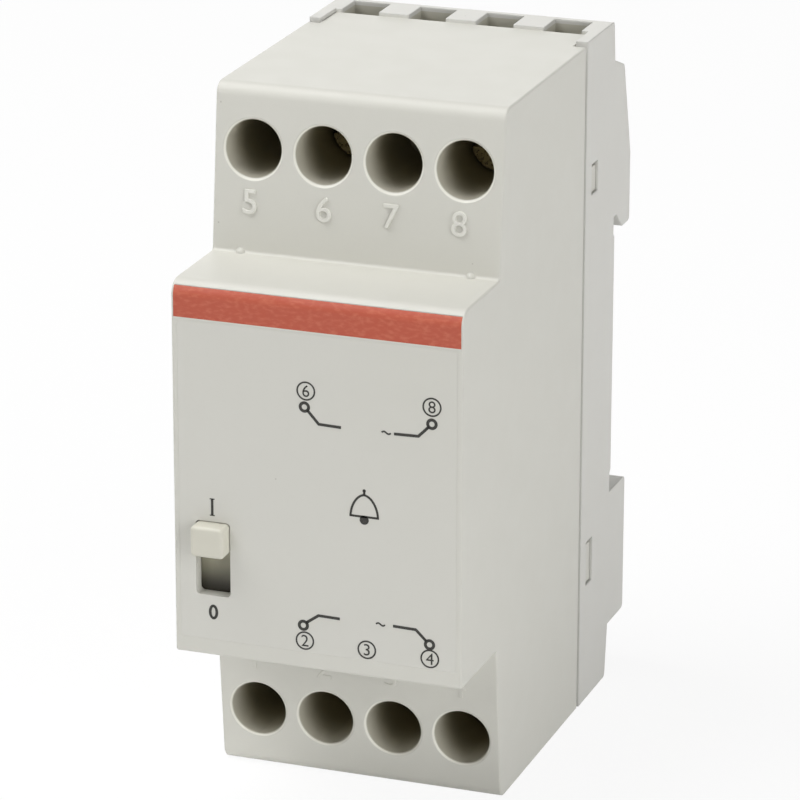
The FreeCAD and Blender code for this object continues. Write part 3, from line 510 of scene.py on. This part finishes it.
@dataclass(frozen=True, kw_only=True)
class EntryPlastic(MouldedPlastic):
    """Base plastic with painted shade inside its wire entries."""

    pitch: float = 8.53
    half_width: float = 2.45
    front: float = -7.0
    back: float = -2.4
    end: float = 41.9
    reach: float = 3.0
    mouth: float = 0.5
    # painted shade: the colour deep in the entries
    deep: Colour = srgb(172, 168, 144)

    def with_painted_light(self, graph: Graph, colour: bpy.types.NodeSocket,
               effects: Effects) -> bpy.types.NodeSocket:
        """Paint shade on the walls of the wire entries and the chambers behind them.

        Args:
            graph: the material's graph.
            colour: the plastic's colour.
            effects: the shared shader groups.

        Returns:
            The colour with painted shade in the entries.
        """
        row = effects.use(graph, effects.poles, Pitch=self.pitch * MM)
        beside = graph.math("LESS_THAN", row["Across"], self.half_width * MM)
        behind = graph.math("GREATER_THAN", row["In"], self.front * MM)
        before = graph.math("LESS_THAN", row["In"], self.back * MM)
        depth = graph.span(
            row["Up"], (self.end - self.reach) * MM, self.end * MM, 1.0, self.mouth)
        below = graph.math("LESS_THAN", row["Up"], self.end * MM)
        within = graph.math("MULTIPLY", graph.math("MULTIPLY", beside, below),
                            graph.math("MULTIPLY", behind, before))
        return graph.blend(graph.math("MULTIPLY", within, depth), colour, self.deep)


@dataclass(frozen=True, kw_only=True)
class SliderPlastic(MouldedPlastic):
    """Knob plastic with painted shade on its flange, down in the slot."""

    middle: float = -7.95
    flange: float = -54.3
    flange_soft: float = 0.5
    shade_start: float = 2.5
    shade_end: float = 6.8
    # painted shade on the flange: near colour by the knob, deep colour away from it
    near: Colour = srgb(154, 151, 130)
    deep: Colour = srgb(42, 38, 27)

    def with_painted_light(self, graph: Graph, colour: bpy.types.NodeSocket,
               effects: Effects) -> bpy.types.NodeSocket:
        """Paint shade on the flange, darkest away from the knob.

        Args:
            graph: the material's graph.
            colour: the plastic's colour.
            effects: the shared shader groups; not used.

        Returns:
            The colour with painted shade on the flange.
        """
        split = graph.add("ShaderNodeSeparateXYZ")
        graph.feed(split.inputs[0], graph.place())
        away = graph.math("ABSOLUTE", graph.math(
            "SUBTRACT", split.outputs["Z"], self.middle * MM))
        spread = graph.span(away, self.shade_start * MM, self.shade_end * MM)
        flange_shade = graph.blend(spread, self.near, self.deep)
        sunk = graph.span(
            split.outputs["Y"], (self.flange - self.flange_soft) * MM, self.flange * MM)
        return graph.blend(sunk, colour, flange_shade)


@dataclass(frozen=True, kw_only=True)
class PrintedFilm(Finish):
    """Thin printed or pressed-on colour that lets paler flecks of its ground through."""

    fleck: Colour
    fleck_size: float = 0.25
    fleck_share: float = 0.5
    fleck_range: tuple[float, float] = (0.42, 0.74)
    stretch: tuple[float, float, float] = (1.0, 1.0, 1.0)
    depth: float = 0.004
    smoother: float = 0.08
    rougher: float = 0.08

    def paint(self, graph: Graph, shader: bpy.types.Node, effects: Effects) -> None:
        """Feed the shader with the flecked colour."""
        grain = effects.use(graph, effects.grain, Scale=1.0 / (self.fleck_size * MM),
                            Stretch=self.stretch)
        fleck = graph.span(grain["Height"], *self.fleck_range, 0.0, self.fleck_share)
        graph.feed(shader.inputs["Base Color"], graph.blend(fleck, self.colour, self.fleck))
        self.sheen(graph, shader, grain["Gloss"], *GLOSS_RANGE)
        self.relief(graph, shader, grain["Height"], self.depth)


@dataclass(frozen=True, kw_only=True)
class Metal(Finish):
    """Plated or bare metal with drawn scratches and dull stains."""

    stained: Colour
    grain: float = 0.5
    depth: float = 0.004
    smoother: float = 0.08
    rougher: float = 0.12

    def paint(self, graph: Graph, shader: bpy.types.Node, effects: Effects) -> None:
        """Feed the shader with the wear."""
        wear = effects.use(graph, effects.wear, Scale=1.0 / (self.grain * MM))
        shader.inputs["Metallic"].default_value = 1.0
        dulled = graph.blend(wear["Stain"], self.colour, self.stained)
        graph.feed(shader.inputs["Base Color"], dulled)
        self.sheen(graph, shader, wear["Scratch"])
        self.relief(graph, shader, wear["Height"], self.depth)


@dataclass(frozen=True, kw_only=True)
class Layered(Finish):
    """Sheets, turns or wraps laid side by side, a thin dark line between two."""

    gap: Colour
    other: Colour
    axis: tuple[float, float, float]
    pitch: float
    depth: float
    metallic: float = 0.0
    smoother: float = 0.06
    rougher: float = 0.06

    def paint(self, graph: Graph, shader: bpy.types.Node, effects: Effects) -> None:
        """Feed the shader with the layers."""
        lines = effects.use(graph, effects.lines, Axis=self.axis, Pitch=self.pitch * MM)
        tone = graph.blend(lines["Tone"], self.colour, self.other)
        graph.feed(shader.inputs["Base Color"], graph.blend(lines["Gap"], tone, self.gap))
        self.sheen(graph, shader, lines["Tone"])
        shader.inputs["Metallic"].default_value = self.metallic
        self.relief(graph, shader, lines["Ridge"], self.depth)


# casing plastic with painted shade in the wells and painted highlights on their rims
CASING_GREY = WelledPlastic(
    name="casing_moulded_grey", colour=srgb(205, 204, 196), clouded=srgb(203, 202, 194),
    roughness=0.52, edge_round=0.2)
# upper raised digits: casing plastic painted paler as a painted highlight on the strokes
DIGIT_PAINTED_HIGHLIGHT = MouldedPlastic(
    name="digit_painted_highlight_grey", colour=srgb(220, 219, 212), clouded=srgb(214, 213, 205),
    roughness=0.44, edge_round=0.08)
DIGIT_WORN = MouldedPlastic(
    name="digit_worn_grey", colour=srgb(206, 205, 197), clouded=srgb(203, 202, 194),
    roughness=0.5, edge_round=0.08)
# base plastic with painted shade inside the wire entries
BASE_GREY = EntryPlastic(
    name="base_moulded_grey", colour=srgb(208, 207, 202), clouded=srgb(205, 204, 198),
    roughness=0.55, edge_round=0.3)
PLATE_GREY = MouldedPlastic(
    name="plate_satin_grey", colour=srgb(205, 204, 197), clouded=srgb(203, 202, 194),
    roughness=0.46, grain=0.22, depth=0.004)
BAND_RED = PrintedFilm(
    name="band_red", colour=srgb(177, 79, 56), fleck=srgb(200, 116, 88), roughness=0.46,
    fleck_size=0.38, fleck_share=0.45, stretch=(0.45, 1.0, 1.0))
MARK_INK = PrintedFilm(
    name="mark_ink", colour=srgb(38, 37, 33), fleck=srgb(92, 90, 82), roughness=0.5,
    fleck_size=0.12, fleck_share=0.4)
# knob plastic with painted shade on its flange in the slot
KNOB_CREAM = SliderPlastic(
    name="knob_cream", colour=srgb(205, 203, 190), clouded=srgb(201, 198, 184),
    roughness=0.42, grain=0.2, depth=0.004, edge_round=0.3)
CARRIER_DARK = MouldedPlastic(
    name="carrier_dark_moulded", colour=srgb(52, 50, 46), clouded=srgb(44, 42, 39),
    roughness=0.5, edge_round=0.15)
BOBBIN_NYLON = MouldedPlastic(
    name="bobbin_nylon", colour=srgb(62, 60, 57), clouded=srgb(54, 52, 49),
    roughness=0.45, edge_round=0.15)
CLIP_GREY = MouldedPlastic(
    name="clip_moulded_grey", colour=srgb(200, 198, 190), clouded=srgb(195, 193, 184),
    roughness=0.45, edge_round=0.25)
SCREW_PLATED = Metal(
    name="screw_yellow_zinc", colour=srgb(150, 135, 94), stained=srgb(144, 128, 88),
    roughness=0.32, edge_round=0.1)
CAGE_PLATED = Metal(
    name="cage_bright_zinc", colour=srgb(190, 190, 186), stained=srgb(150, 148, 142),
    roughness=0.34, edge_round=0.12)
BAR_BRASS = Metal(
    name="bar_brass", colour=srgb(208, 178, 108), stained=srgb(168, 134, 74),
    roughness=0.3, edge_round=0.08)
BRIDGE_BRONZE = Metal(
    name="bridge_bronze", colour=srgb(202, 158, 104), stained=srgb(160, 116, 72),
    roughness=0.28, edge_round=0.05)
SPRING_STEEL = Metal(
    name="spring_bright_steel", colour=srgb(186, 184, 178), stained=srgb(140, 136, 128),
    roughness=0.25)
CUTOUT_CASE = Metal(
    name="cutout_tinned_case", colour=srgb(184, 184, 182), stained=srgb(146, 145, 142),
    roughness=0.36)
CORE_SHEETS = Layered(
    name="core_sheets", colour=srgb(112, 112, 114), other=srgb(134, 133, 131),
    gap=srgb(40, 39, 38), axis=(1.0, 0.0, 0.0), pitch=0.5, depth=0.06, roughness=0.42,
    metallic=1.0)
ENAMELLED_WIRE = Layered(
    name="enamelled_wire", colour=srgb(186, 104, 58), other=srgb(168, 86, 44),
    gap=srgb(70, 34, 18), axis=(0.0, 1.0, 0.0), pitch=0.28, depth=0.1, roughness=0.3,
    metallic=0.85)
WRAP_TAPE = Layered(
    name="wrap_tape", colour=srgb(214, 184, 92), other=srgb(206, 172, 78),
    gap=srgb(150, 118, 44), axis=(0.0, 1.0, 0.0), pitch=4.0, depth=0.05, roughness=0.28)
SLEEVE_BROWN = MouldedPlastic(
    name="sleeve_brown", colour=srgb(96, 58, 38), clouded=srgb(84, 50, 32), roughness=0.4,
    grain=0.15, depth=0.004)
SLEEVE_BLUE = MouldedPlastic(
    name="sleeve_blue", colour=srgb(48, 84, 140), clouded=srgb(42, 74, 126), roughness=0.4,
    grain=0.15, depth=0.004)
SLEEVE_WHITE = MouldedPlastic(
    name="sleeve_white", colour=srgb(214, 212, 204), clouded=srgb(206, 204, 195), roughness=0.4,
    grain=0.15, depth=0.004)


def dress(effects: Effects, finish: Finish, *names: str) -> None:
    """Give CAD nodes their finish.

    Args:
        effects: the shared shader groups.
        finish: the finish.
        names: the nodes.
    """
    material = finish.material(effects)
    for name in names:
        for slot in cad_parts[name].material_slots:
            slot.material = material
        LOG.info("dressed %s in %s", name, finish.name)


def letter_mesh(text: str, height: float, depth: float,
                edge: float = 0.0, weight: float = 0.0) -> bpy.types.Mesh:
    """Shape one sign in Blender's own font, upright in its XY plane and centred on its box.

    Args:
        text: the sign.
        height: its height in mm.
        depth: how far it stands to each side of its plane, in mm.
        edge: how much its edges are rounded, in mm.
        weight: how much its strokes are thickened to each side, in mm.

    Returns:
        The mesh, in mm.
    """
    curve = bpy.data.curves.new("sign", "FONT")
    curve.body = text
    holder = bpy.data.objects.new("sign", curve)
    bpy.context.collection.objects.link(holder)
    bpy.context.view_layer.update()
    curve.size = (height - 2.0 * weight) / holder.dimensions.y
    curve.extrude = depth - edge
    curve.bevel_depth = edge
    curve.bevel_resolution = EDGE_STEPS
    curve.offset = weight - edge
    graph = bpy.context.evaluated_depsgraph_get()
    mesh = bpy.data.meshes.new_from_object(holder.evaluated_get(graph))
    bpy.data.objects.remove(holder)
    bpy.data.curves.remove(curve)
    corners = [vertex.co for vertex in mesh.vertices]
    middle = [(min(c[i] for c in corners) + max(c[i] for c in corners)) / 2.0 for i in (0, 1)]
    mesh.transform(Matrix.Translation((-middle[0], -middle[1], 0.0)))
    return mesh


class Marks:
    """Gathers the marks of one kind on a flat face into a single piece."""

    SHARPEST_MITRE = 0.3

    def __init__(self, name: str, plane: Matrix, height: float, sunk: float = 0.005) -> None:
        """Start with no mark.

        Args:
            name: the piece's name.
            plane: from the marks' own plane in mm to the object's place in mm.
            height: how far the marks stand off the face, in mm.
            sunk: how far they reach into it, in mm.
        """
        self.name = name
        self.plane = plane
        self.height = height
        self.sunk = sunk
        self.shape = bmesh.new()

    def outline(self, points: Sequence[Point]) -> None:
        """Fill a closed outline, given anticlockwise.

        Args:
            points: its corners in mm.
        """
        front = [self.shape.verts.new((x, y, self.height)) for x, y in points]
        back = [self.shape.verts.new((x, y, -self.sunk)) for x, y in points]
        self.shape.faces.new(front)
        self.shape.faces.new(back[::-1])
        for index in range(len(points)):
            after = (index + 1) % len(points)
            self.shape.faces.new((back[index], back[after], front[after], front[index]))

    def stroke(self, points: Sequence[Point], width: float) -> None:
        """Draw a line of even width with mitred corners.

        Args:
            points: its course in mm.
            width: its width in mm.
        """
        course = [Vector(point) for point in points]
        runs = [(after - before).normalized() for before, after in zip(course, course[1:])]
        left: list[Point] = []
        right: list[Point] = []
        for index, point in enumerate(course):
            before, after = runs[max(index - 1, 0)], runs[min(index, len(runs) - 1)]
            side = Vector((-before.y - after.y, before.x + after.x)).normalized()
            mitre = max(side.dot(Vector((-after.y, after.x))), self.SHARPEST_MITRE)
            reach = width / 2.0 / mitre
            left.append(tuple(point + side * reach))
            right.append(tuple(point - side * reach))
        self.outline(right + left[::-1])

    def ring(self, centre: Point, radii: Point, width: float, steps: int = 48) -> None:
        """Draw a ring or an oval of even width.

        Args:
            centre: its middle in mm.
            radii: its radii across and up, to the middle of the line, in mm.
            width: the line's width in mm.
            steps: how many sides it has.
        """
        loops = []
        for reach, level in ((0.5, self.height), (-0.5, self.height),
                             (-0.5, -self.sunk), (0.5, -self.sunk)):
            loop = []
            for step in range(steps):
                angle = 2.0 * math.pi * step / steps
                loop.append(self.shape.verts.new((
                    centre[0] + (radii[0] + reach * width) * math.cos(angle),
                    centre[1] + (radii[1] + reach * width) * math.sin(angle), level)))
            loops.append(loop)
        for near, far in zip(loops, loops[1:] + loops[:1]):
            for step in range(steps):
                after = (step + 1) % steps
                self.shape.faces.new((near[step], near[after], far[after], far[step]))

    def disc(self, centre: Point, radius: float, steps: int = 32) -> None:
        """Fill a round dot.

        Args:
            centre: its middle in mm.
            radius: its radius in mm.
            steps: how many sides it has.
        """
        angles = [2.0 * math.pi * step / steps for step in range(steps)]
        self.outline([(centre[0] + radius * math.cos(a), centre[1] + radius * math.sin(a))
                      for a in angles])

    def sign(self, text: str, centre: Point, height: float, edge: float = 0.0,
             weight: float = 0.0) -> None:
        """Set one sign of the font.

        Args:
            text: the sign.
            centre: its middle in mm.
            height: its height in mm.
            edge: how much its edges are rounded, in mm.
            weight: how much its strokes are thickened to each side, in mm.
        """
        mesh = letter_mesh(text, height, (self.height + self.sunk) / 2.0, edge, weight)
        mesh.transform(Matrix.Translation((*centre, (self.height - self.sunk) / 2.0)))
        self.shape.from_mesh(mesh)
        bpy.data.meshes.remove(mesh)

    def piece(self, material: bpy.types.Material, body: Body, slot: Slot) -> bpy.types.Object:
        """Turn the marks into a piece that rides on a body.

        Args:
            material: the marks' material.
            body: the body.
            slot: the record's slot for its finish; not used.

        Returns:
            The piece.
        """
        bmesh.ops.recalc_face_normals(self.shape, faces=self.shape.faces)
        self.shape.transform(Matrix.Scale(MM, 4) @ self.plane)
        mesh = bpy.data.meshes.new(self.name)
        self.shape.to_mesh(mesh)
        self.shape.free()
        mesh.materials.append(material)
        made = bpy.data.objects.new(self.name, mesh)
        bpy.context.collection.objects.link(made)
        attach(made, body.value)
        LOG.info("built %s, %d faces", self.name, len(mesh.polygons))
        return made


@dataclass
class Casing:
    """Front casing and rear base, with the terminal numbers raised on the shoulders."""

    shoulder_foot: float = 22.5
    shoulder_front: float = -43.3
    shoulder_run: float = 19.5
    shoulder_lean: float = 1.9
    digit_height: float = 2.9
    digit_proud: float = 0.22
    worn_proud: float = 0.1
    digit_sunk: float = 0.1
    digit_edge: float = 0.06
    digit_weight: float = 0.03
    digit_level: float = 28.5
    upper: dict[str, float] = field(default_factory=lambda: {
        "5": -13.0, "6": -3.93, "7": 4.22, "8": 12.42})
    lower_shift: float = 0.7
    lower: dict[str, float] = field(default_factory=lambda: {
        "1": -13.0, "2": -4.2, "3": 4.2, "4": 12.5})

    def shoulder(self, side: float) -> Matrix:
        """Lay a plane on a shoulder, its middle at the level of the digits.

        Args:
            side: 1 for the upper shoulder, -1 for the lower one.

        Returns:
            From that plane to the object's place, in mm.
        """
        up = Vector((0.0, side * self.shoulder_lean, self.shoulder_run)).normalized()
        out = Vector((1.0, 0.0, 0.0)).cross(up)
        rise = (self.digit_level - self.shoulder_foot) / self.shoulder_run
        plane = Matrix(((1.0, 0.0, 0.0), up, out)).transposed().to_4x4()
        plane.translation = (
            0.0, self.shoulder_front + rise * self.shoulder_lean, side * self.digit_level)
        return plane

    def build(self, effects: Effects) -> None:
        """Raise the numbers on both shoulders."""
        # the upper digits take a painted highlight, the lower ones nearly the casing's own grey
        for name, side, proud, finish, digits in (
                ("upper_numbers", 1.0, self.digit_proud, DIGIT_PAINTED_HIGHLIGHT, self.upper),
                ("lower_numbers", -1.0, self.worn_proud, DIGIT_WORN, self.lower)):
            marks = Marks(name, self.shoulder(side), proud, self.digit_sunk)
            rise = 0.0 if side > 0.0 else self.lower_shift
            for text, across in digits.items():
                marks.sign(text, (across, rise), self.digit_height,
                           self.digit_edge, self.digit_weight)
            marks.piece(finish.material(effects), Body.HOUSING, Slot.HOUSING)

    def dress(self, effects: Effects) -> None:
        """Give the two shells their finish."""
        dress(effects, CASING_GREY, "front_casing")
        dress(effects, BASE_GREY, "rear_base")


@dataclass
class FrontPlate:
    """Plate and band on the nose, and the marks printed on the plate."""

    ink: float = 0.025
    digit_height: float = 1.4
    digit_weight: float = 0.0
    digit_ring: float = 1.04
    digit_line: float = 0.19
    node_ring: float = 0.5
    node_line: float = 0.36
    wire_line: float = 0.34
    digits: dict[str, Point] = field(default_factory=lambda: {
        "6": (-1.22, 11.19), "8": (13.84, 11.06), "2": (-1.5, -19.09),
        "3": (6.06, -19.17), "4": (13.69, -19.21)})
    nodes: Sequence[Point] = ((-1.4, 9.27), (13.84, 9.06), (-1.68, -17.22), (13.65, -17.49))
    wires: Sequence[Sequence[Point]] = (
        ((-1.05, 8.92), (0.32, 7.42), (3.0, 7.34)),
        ((9.34, 7.37), (12.24, 7.44), (13.49, 8.71)),
        ((-1.34, -16.87), (0.18, -15.78), (2.79, -15.83)),
        ((9.24, -15.81), (11.98, -15.87), (13.3, -17.14)))
    waves: Sequence[Point] = ((8.41, 7.39), (7.73, -15.82))
    wave_length: float = 1.1
    wave_rise: float = 0.14
    wave_line: float = 0.2
    wave_steps: int = 12
    bell_foot: Point = (5.77, -3.01)
    bell_width: float = 3.3
    bell_height: float = 2.6
    bell_line: float = 0.26
    bell_bow: float = 1.8
    bell_steps: int = 24
    bell_stem: float = 0.5
    bell_tip_level: float = 0.52
    bell_tip: float = 0.2
    clapper: float = 0.55
    clapper_drop: float = 0.4
    on_mark: Point = (-12.77, -4.22)
    on_height: float = 2.11
    on_line: float = 0.3
    serif_reach: float = 0.3
    serif_line: float = 0.12
    off_mark: Point = (-12.77, -17.11)
    off_size: Point = (1.16, 1.84)
    off_line: float = 0.34

    def front(self) -> Matrix:
        """Lay the marks' plane on the front of the plate, in mm."""
        plane = Matrix(((1.0, 0.0, 0.0, 0.0), (0.0, 0.0, -1.0, 0.0),
                        (0.0, 1.0, 0.0, 0.0), (0.0, 0.0, 0.0, 1.0)))
        plane.translation = (0.0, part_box("label_plate")[0].y / MM, 0.0)
        return plane

    def build(self, effects: Effects) -> None:
        """Print the marks."""
        for marks in (self.terminal_digits(), self.circuit(), self.bell(), self.switch_marks()):
            marks.piece(MARK_INK.material(effects), Body.HOUSING, Slot.PRINT)

    def terminal_digits(self) -> Marks:
        """Draw the terminals' numbers in their thin rings."""
        marks = Marks("print_terminal_numbers", self.front(), self.ink)
        for text, centre in self.digits.items():
            marks.ring(centre, (self.digit_ring, self.digit_ring), self.digit_line)
            marks.sign(text, centre, self.digit_height, weight=self.digit_weight)
        return marks

    def circuit(self) -> Marks:
        """Draw the wires, their end rings and the signs for alternating current."""
        marks = Marks("print_circuit", self.front(), self.ink)
        for centre in self.nodes:
            marks.ring(centre, (self.node_ring, self.node_ring), self.node_line)
        for course in self.wires:
            marks.stroke(course, self.wire_line)
        for x, z in self.waves:
            start = x - self.wave_length / 2.0
            shares = [step / self.wave_steps for step in range(self.wave_steps + 1)]
            marks.stroke([(start + self.wave_length * share,
                           z + self.wave_rise * math.sin(2.0 * math.pi * share))
                          for share in shares], self.wave_line)
        return marks

    def bell(self) -> Marks:
        """Draw a plain bell in outline: dome, foot line, stem with a knob, and clapper."""
        marks = Marks("print_bell", self.front(), self.ink)
        x, z = self.bell_foot
        half, tall = self.bell_width / 2.0, self.bell_height
        dome = []
        for step in range(self.bell_steps + 1):
            angle = math.pi * step / self.bell_steps
            across = math.copysign(abs(math.cos(angle)) ** (2.0 / self.bell_bow), math.cos(angle))
            up = math.sin(angle) ** (2.0 / self.bell_bow)
            dome.append((x + half * across, z + tall * up))
        marks.stroke(dome, self.bell_line)
        reach = half + self.bell_line / 2.0
        marks.stroke(((x - reach, z), (x + reach, z)), self.bell_line)
        marks.stroke(((x, z + tall), (x, z + tall + self.bell_stem)), self.bell_line)
        marks.disc((x, z + tall + self.bell_tip_level), self.bell_tip)
        marks.disc((x, z - self.clapper_drop), self.clapper)
        return marks

    def switch_marks(self) -> Marks:
        """Draw the stroke and the oval that mark the switch's two ends."""
        marks = Marks("print_switch_marks", self.front(), self.ink)
        x, z = self.on_mark
        half = self.on_height / 2.0
        marks.stroke(((x, z - half), (x, z + half)), self.on_line)
        inset = self.serif_line / 2.0
        for level in (z - half + inset, z + half - inset):
            marks.stroke(((x - self.serif_reach, level), (x + self.serif_reach, level)),
                         self.serif_line)
        wide, tall = self.off_size
        inset = self.off_line / 2.0
        marks.ring(self.off_mark, (wide / 2.0 - inset, tall / 2.0 - inset), self.off_line)
        return marks

    def dress(self, effects: Effects) -> None:
        """Give plate and band their finish."""
        dress(effects, PLATE_GREY, "label_plate")
        dress(effects, BAND_RED, "red_band")


@dataclass
class SlideSwitch:
    """Slide knob with its bridge, and the fixed contacts on their carrier."""

    knob: Sequence[str] = ("switch_knob",)
    carrier: Sequence[str] = ("switch_carrier",)
    contacts: Sequence[str] = ("switch_contact_in", "switch_contact_out")
    bridge: Sequence[str] = ("contact_bridge",)

    def dress(self, effects: Effects) -> None:
        """Give the switch its finishes."""
        dress(effects, KNOB_CREAM, *self.knob)
        dress(effects, CARRIER_DARK, *self.carrier)
        dress(effects, BAR_BRASS, *self.contacts)
        dress(effects, BRIDGE_BRONZE, *self.bridge)


@dataclass
class Terminals:
    """Screws, brass bars and lift cages of the five terminals."""

    numbers: Sequence[int] = (6, 8, 2, 3, 4)

    def dress(self, effects: Effects) -> None:
        """Give the terminals their finishes."""
        dress(effects, SCREW_PLATED, "terminal_screws")
        dress(effects, BAR_BRASS, *(f"terminal_bar_{number}" for number in self.numbers))
        dress(effects, CAGE_PLATED, *(f"terminal_cage_{number}" for number in self.numbers))


@dataclass
class Transformer:
    """Laminated core, wound bobbin, cutout and leads."""

    mains_leads: Sequence[str] = ("lead_6", "lead_switch")
    neutral_leads: Sequence[str] = ("lead_8",)
    bell_leads: Sequence[str] = ("lead_2", "lead_3", "lead_4")

    def dress(self, effects: Effects) -> None:
        """Give the transformer its finishes."""
        dress(effects, CORE_SHEETS, "core_e_stack", "core_i_stack")
        dress(effects, BOBBIN_NYLON, "bobbin")
        dress(effects, ENAMELLED_WIRE, "primary_winding", "secondary_winding")
        dress(effects, WRAP_TAPE, "primary_tape", "secondary_tape")
        dress(effects, CUTOUT_CASE, "thermal_cutout")
        dress(effects, SLEEVE_BROWN, *self.mains_leads)
        dress(effects, SLEEVE_BLUE, *self.neutral_leads)
        dress(effects, SLEEVE_WHITE, *self.bell_leads)


@dataclass
class RailClip:
    """Sliding clip of the rail foot and its wire spring."""

    foot: float = 1.0
    bow: float = 1.7

    def dress(self, effects: Effects) -> None:
        """Give clip and spring their finishes."""
        dress(effects, CLIP_GREY, "rail_clip")
        dress(effects, SPRING_STEEL, "clip_spring")

    def build(self, effects: Effects) -> None:
        """Copy the spring into a piece of its own and hide the CAD spring."""
        wire = bpy.data.objects.new("spring_wire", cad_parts["clip_spring"].data.copy())
        bpy.context.collection.objects.link(wire)
        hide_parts("clip_spring")
        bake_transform(wire)
        LOG.info("built %s, %d faces", wire.name, len(wire.data.polygons))


@dataclass(frozen=True)
class Lamp:
    """One soft studio lamp, aimed at the object."""

    name: str
    place: tuple[float, float, float]
    size: float
    power: float


@dataclass
class Studio:
    """Floor, soft light and the camera at the photograph's angle."""

    floor_side: float = 4000.0
    floor_colour: Colour = (0.95, 0.95, 0.95, 1.0)
    glow: float = 0.9
    ambient: float = 0.14
    aim: tuple[float, float, float] = (0.0, -28.0, 0.0)
    lamps: Sequence[Lamp] = (
        Lamp("lamp_over", (-420.0, -160.0, 780.0), 700.0, 7.5),
        Lamp("lamp_key", (-520.0, -900.0, 560.0), 420.0, 1.35),
        Lamp("lamp_fill", (900.0, -480.0, 260.0), 700.0, 5.75),
        Lamp("lamp_back", (-300.0, 1000.0, 120.0), 700.0, 1.5))
    eye: tuple[float, float, float] = (177.54, -518.21, 182.04)
    azimuth: float = 20.143
    elevation: float = 19.077
    lens: float = 209.8
    nearest: float = 10.0
    shift: Point = (0.02226, -0.00515)

    def build(self) -> None:
        """Set up the whole studio."""
        self.floor()
        self.world()
        for lamp in self.lamps:
            self.light(lamp)
        self.camera()
        bpy.context.scene.view_settings.view_transform = "Standard"

    def seen(self, graph: Graph) -> bpy.types.NodeSocket:
        """Tell rays that look at the backdrop from those that light the object."""
        path = graph.add("ShaderNodeLightPath")
        direct = graph.math(
            "MAXIMUM", path.outputs["Is Camera Ray"], path.outputs["Is Glossy Ray"])
        return graph.math("MAXIMUM", direct, path.outputs["Is Transmission Ray"])

    def floor(self) -> None:
        """Lay a pale floor under the object that keeps its shadow."""
        half = self.floor_side / 2.0 * MM
        level = CAD_BOX[0][2]
        mesh = bpy.data.meshes.new("floor")
        mesh.from_pydata([(-half, -half, level), (half, -half, level), (half, half, level),
                          (-half, half, level)], [], [(0, 1, 2, 3)])
        material = bpy.data.materials.new("floor_pale")
        material.use_nodes = True
        graph = Graph(material.node_tree)
        material.node_tree.nodes.remove(material.node_tree.nodes["Principled BSDF"])
        paper = graph.add("ShaderNodeBsdfDiffuse")
        paper.inputs["Color"].default_value = self.floor_colour
        white = graph.add("ShaderNodeEmission")
        white.inputs["Color"].default_value = WHITE
        mix = graph.add("ShaderNodeMixShader")
        graph.feed(mix.inputs[0], graph.math("MULTIPLY", self.seen(graph), self.glow))
        graph.feed(mix.inputs[1], paper.outputs[0])
        graph.feed(mix.inputs[2], white.outputs[0])
        graph.feed(material.node_tree.nodes["Material Output"].inputs["Surface"], mix.outputs[0])
        mesh.materials.append(material)
        floor = bpy.data.objects.new("floor", mesh)
        bpy.context.collection.objects.link(floor)

    def world(self) -> None:
        """Fill the room with even light, and show white where it is looked at."""
        world = bpy.data.worlds.new("studio")
        world.use_nodes = True
        graph = Graph(world.node_tree)
        back = world.node_tree.nodes["Background"]
        back.inputs["Color"].default_value = WHITE
        strength = graph.add("ShaderNodeMapRange")
        for index, value in enumerate((self.seen(graph), 0.0, 1.0, self.ambient, 1.0)):
            graph.feed(strength.inputs[index], value)
        graph.feed(back.inputs["Strength"], strength.outputs[0])
        bpy.context.scene.world = world

    def light(self, lamp: Lamp) -> None:
        """Hang one lamp and turn it to the object.

        Args:
            lamp: the lamp.
        """
        data = bpy.data.lights.new(lamp.name, "AREA")
        data.shape = "DISK"
        data.size = lamp.size * MM
        data.energy = lamp.power
        hung = bpy.data.objects.new(lamp.name, data)
        hung.location = Vector(lamp.place) * MM
        towards = Vector(self.aim) * MM - hung.location
        hung.rotation_euler = towards.to_track_quat("-Z", "Y").to_euler()
        bpy.context.collection.objects.link(hung)

    def camera(self) -> None:
        """Stand the camera where the photograph was taken from."""
        data = bpy.data.cameras.new("camera")
        data.lens = self.lens
        data.shift_x, data.shift_y = self.shift
        data.clip_start = self.nearest * MM
        eye = bpy.data.objects.new("camera", data)
        eye.location = Vector(self.eye) * MM
        eye.rotation_euler = (math.radians(90.0 - self.elevation), 0.0, math.radians(self.azimuth))
        bpy.context.collection.objects.link(eye)
        bpy.context.scene.camera = eye


def main() -> None:
    """Dress the CAD frame, add the marks and set up the studio."""
    logging.basicConfig(level=logging.INFO, format="%(message)s")
    effects = Effects()
    for assembly in (Casing(), FrontPlate(), RailClip()):
        assembly.dress(effects)
        assembly.build(effects)
    for assembly in (SlideSwitch(), Terminals(), Transformer()):
        assembly.dress(effects)
    Studio().build()


if __name__ == "__main__":
    main()
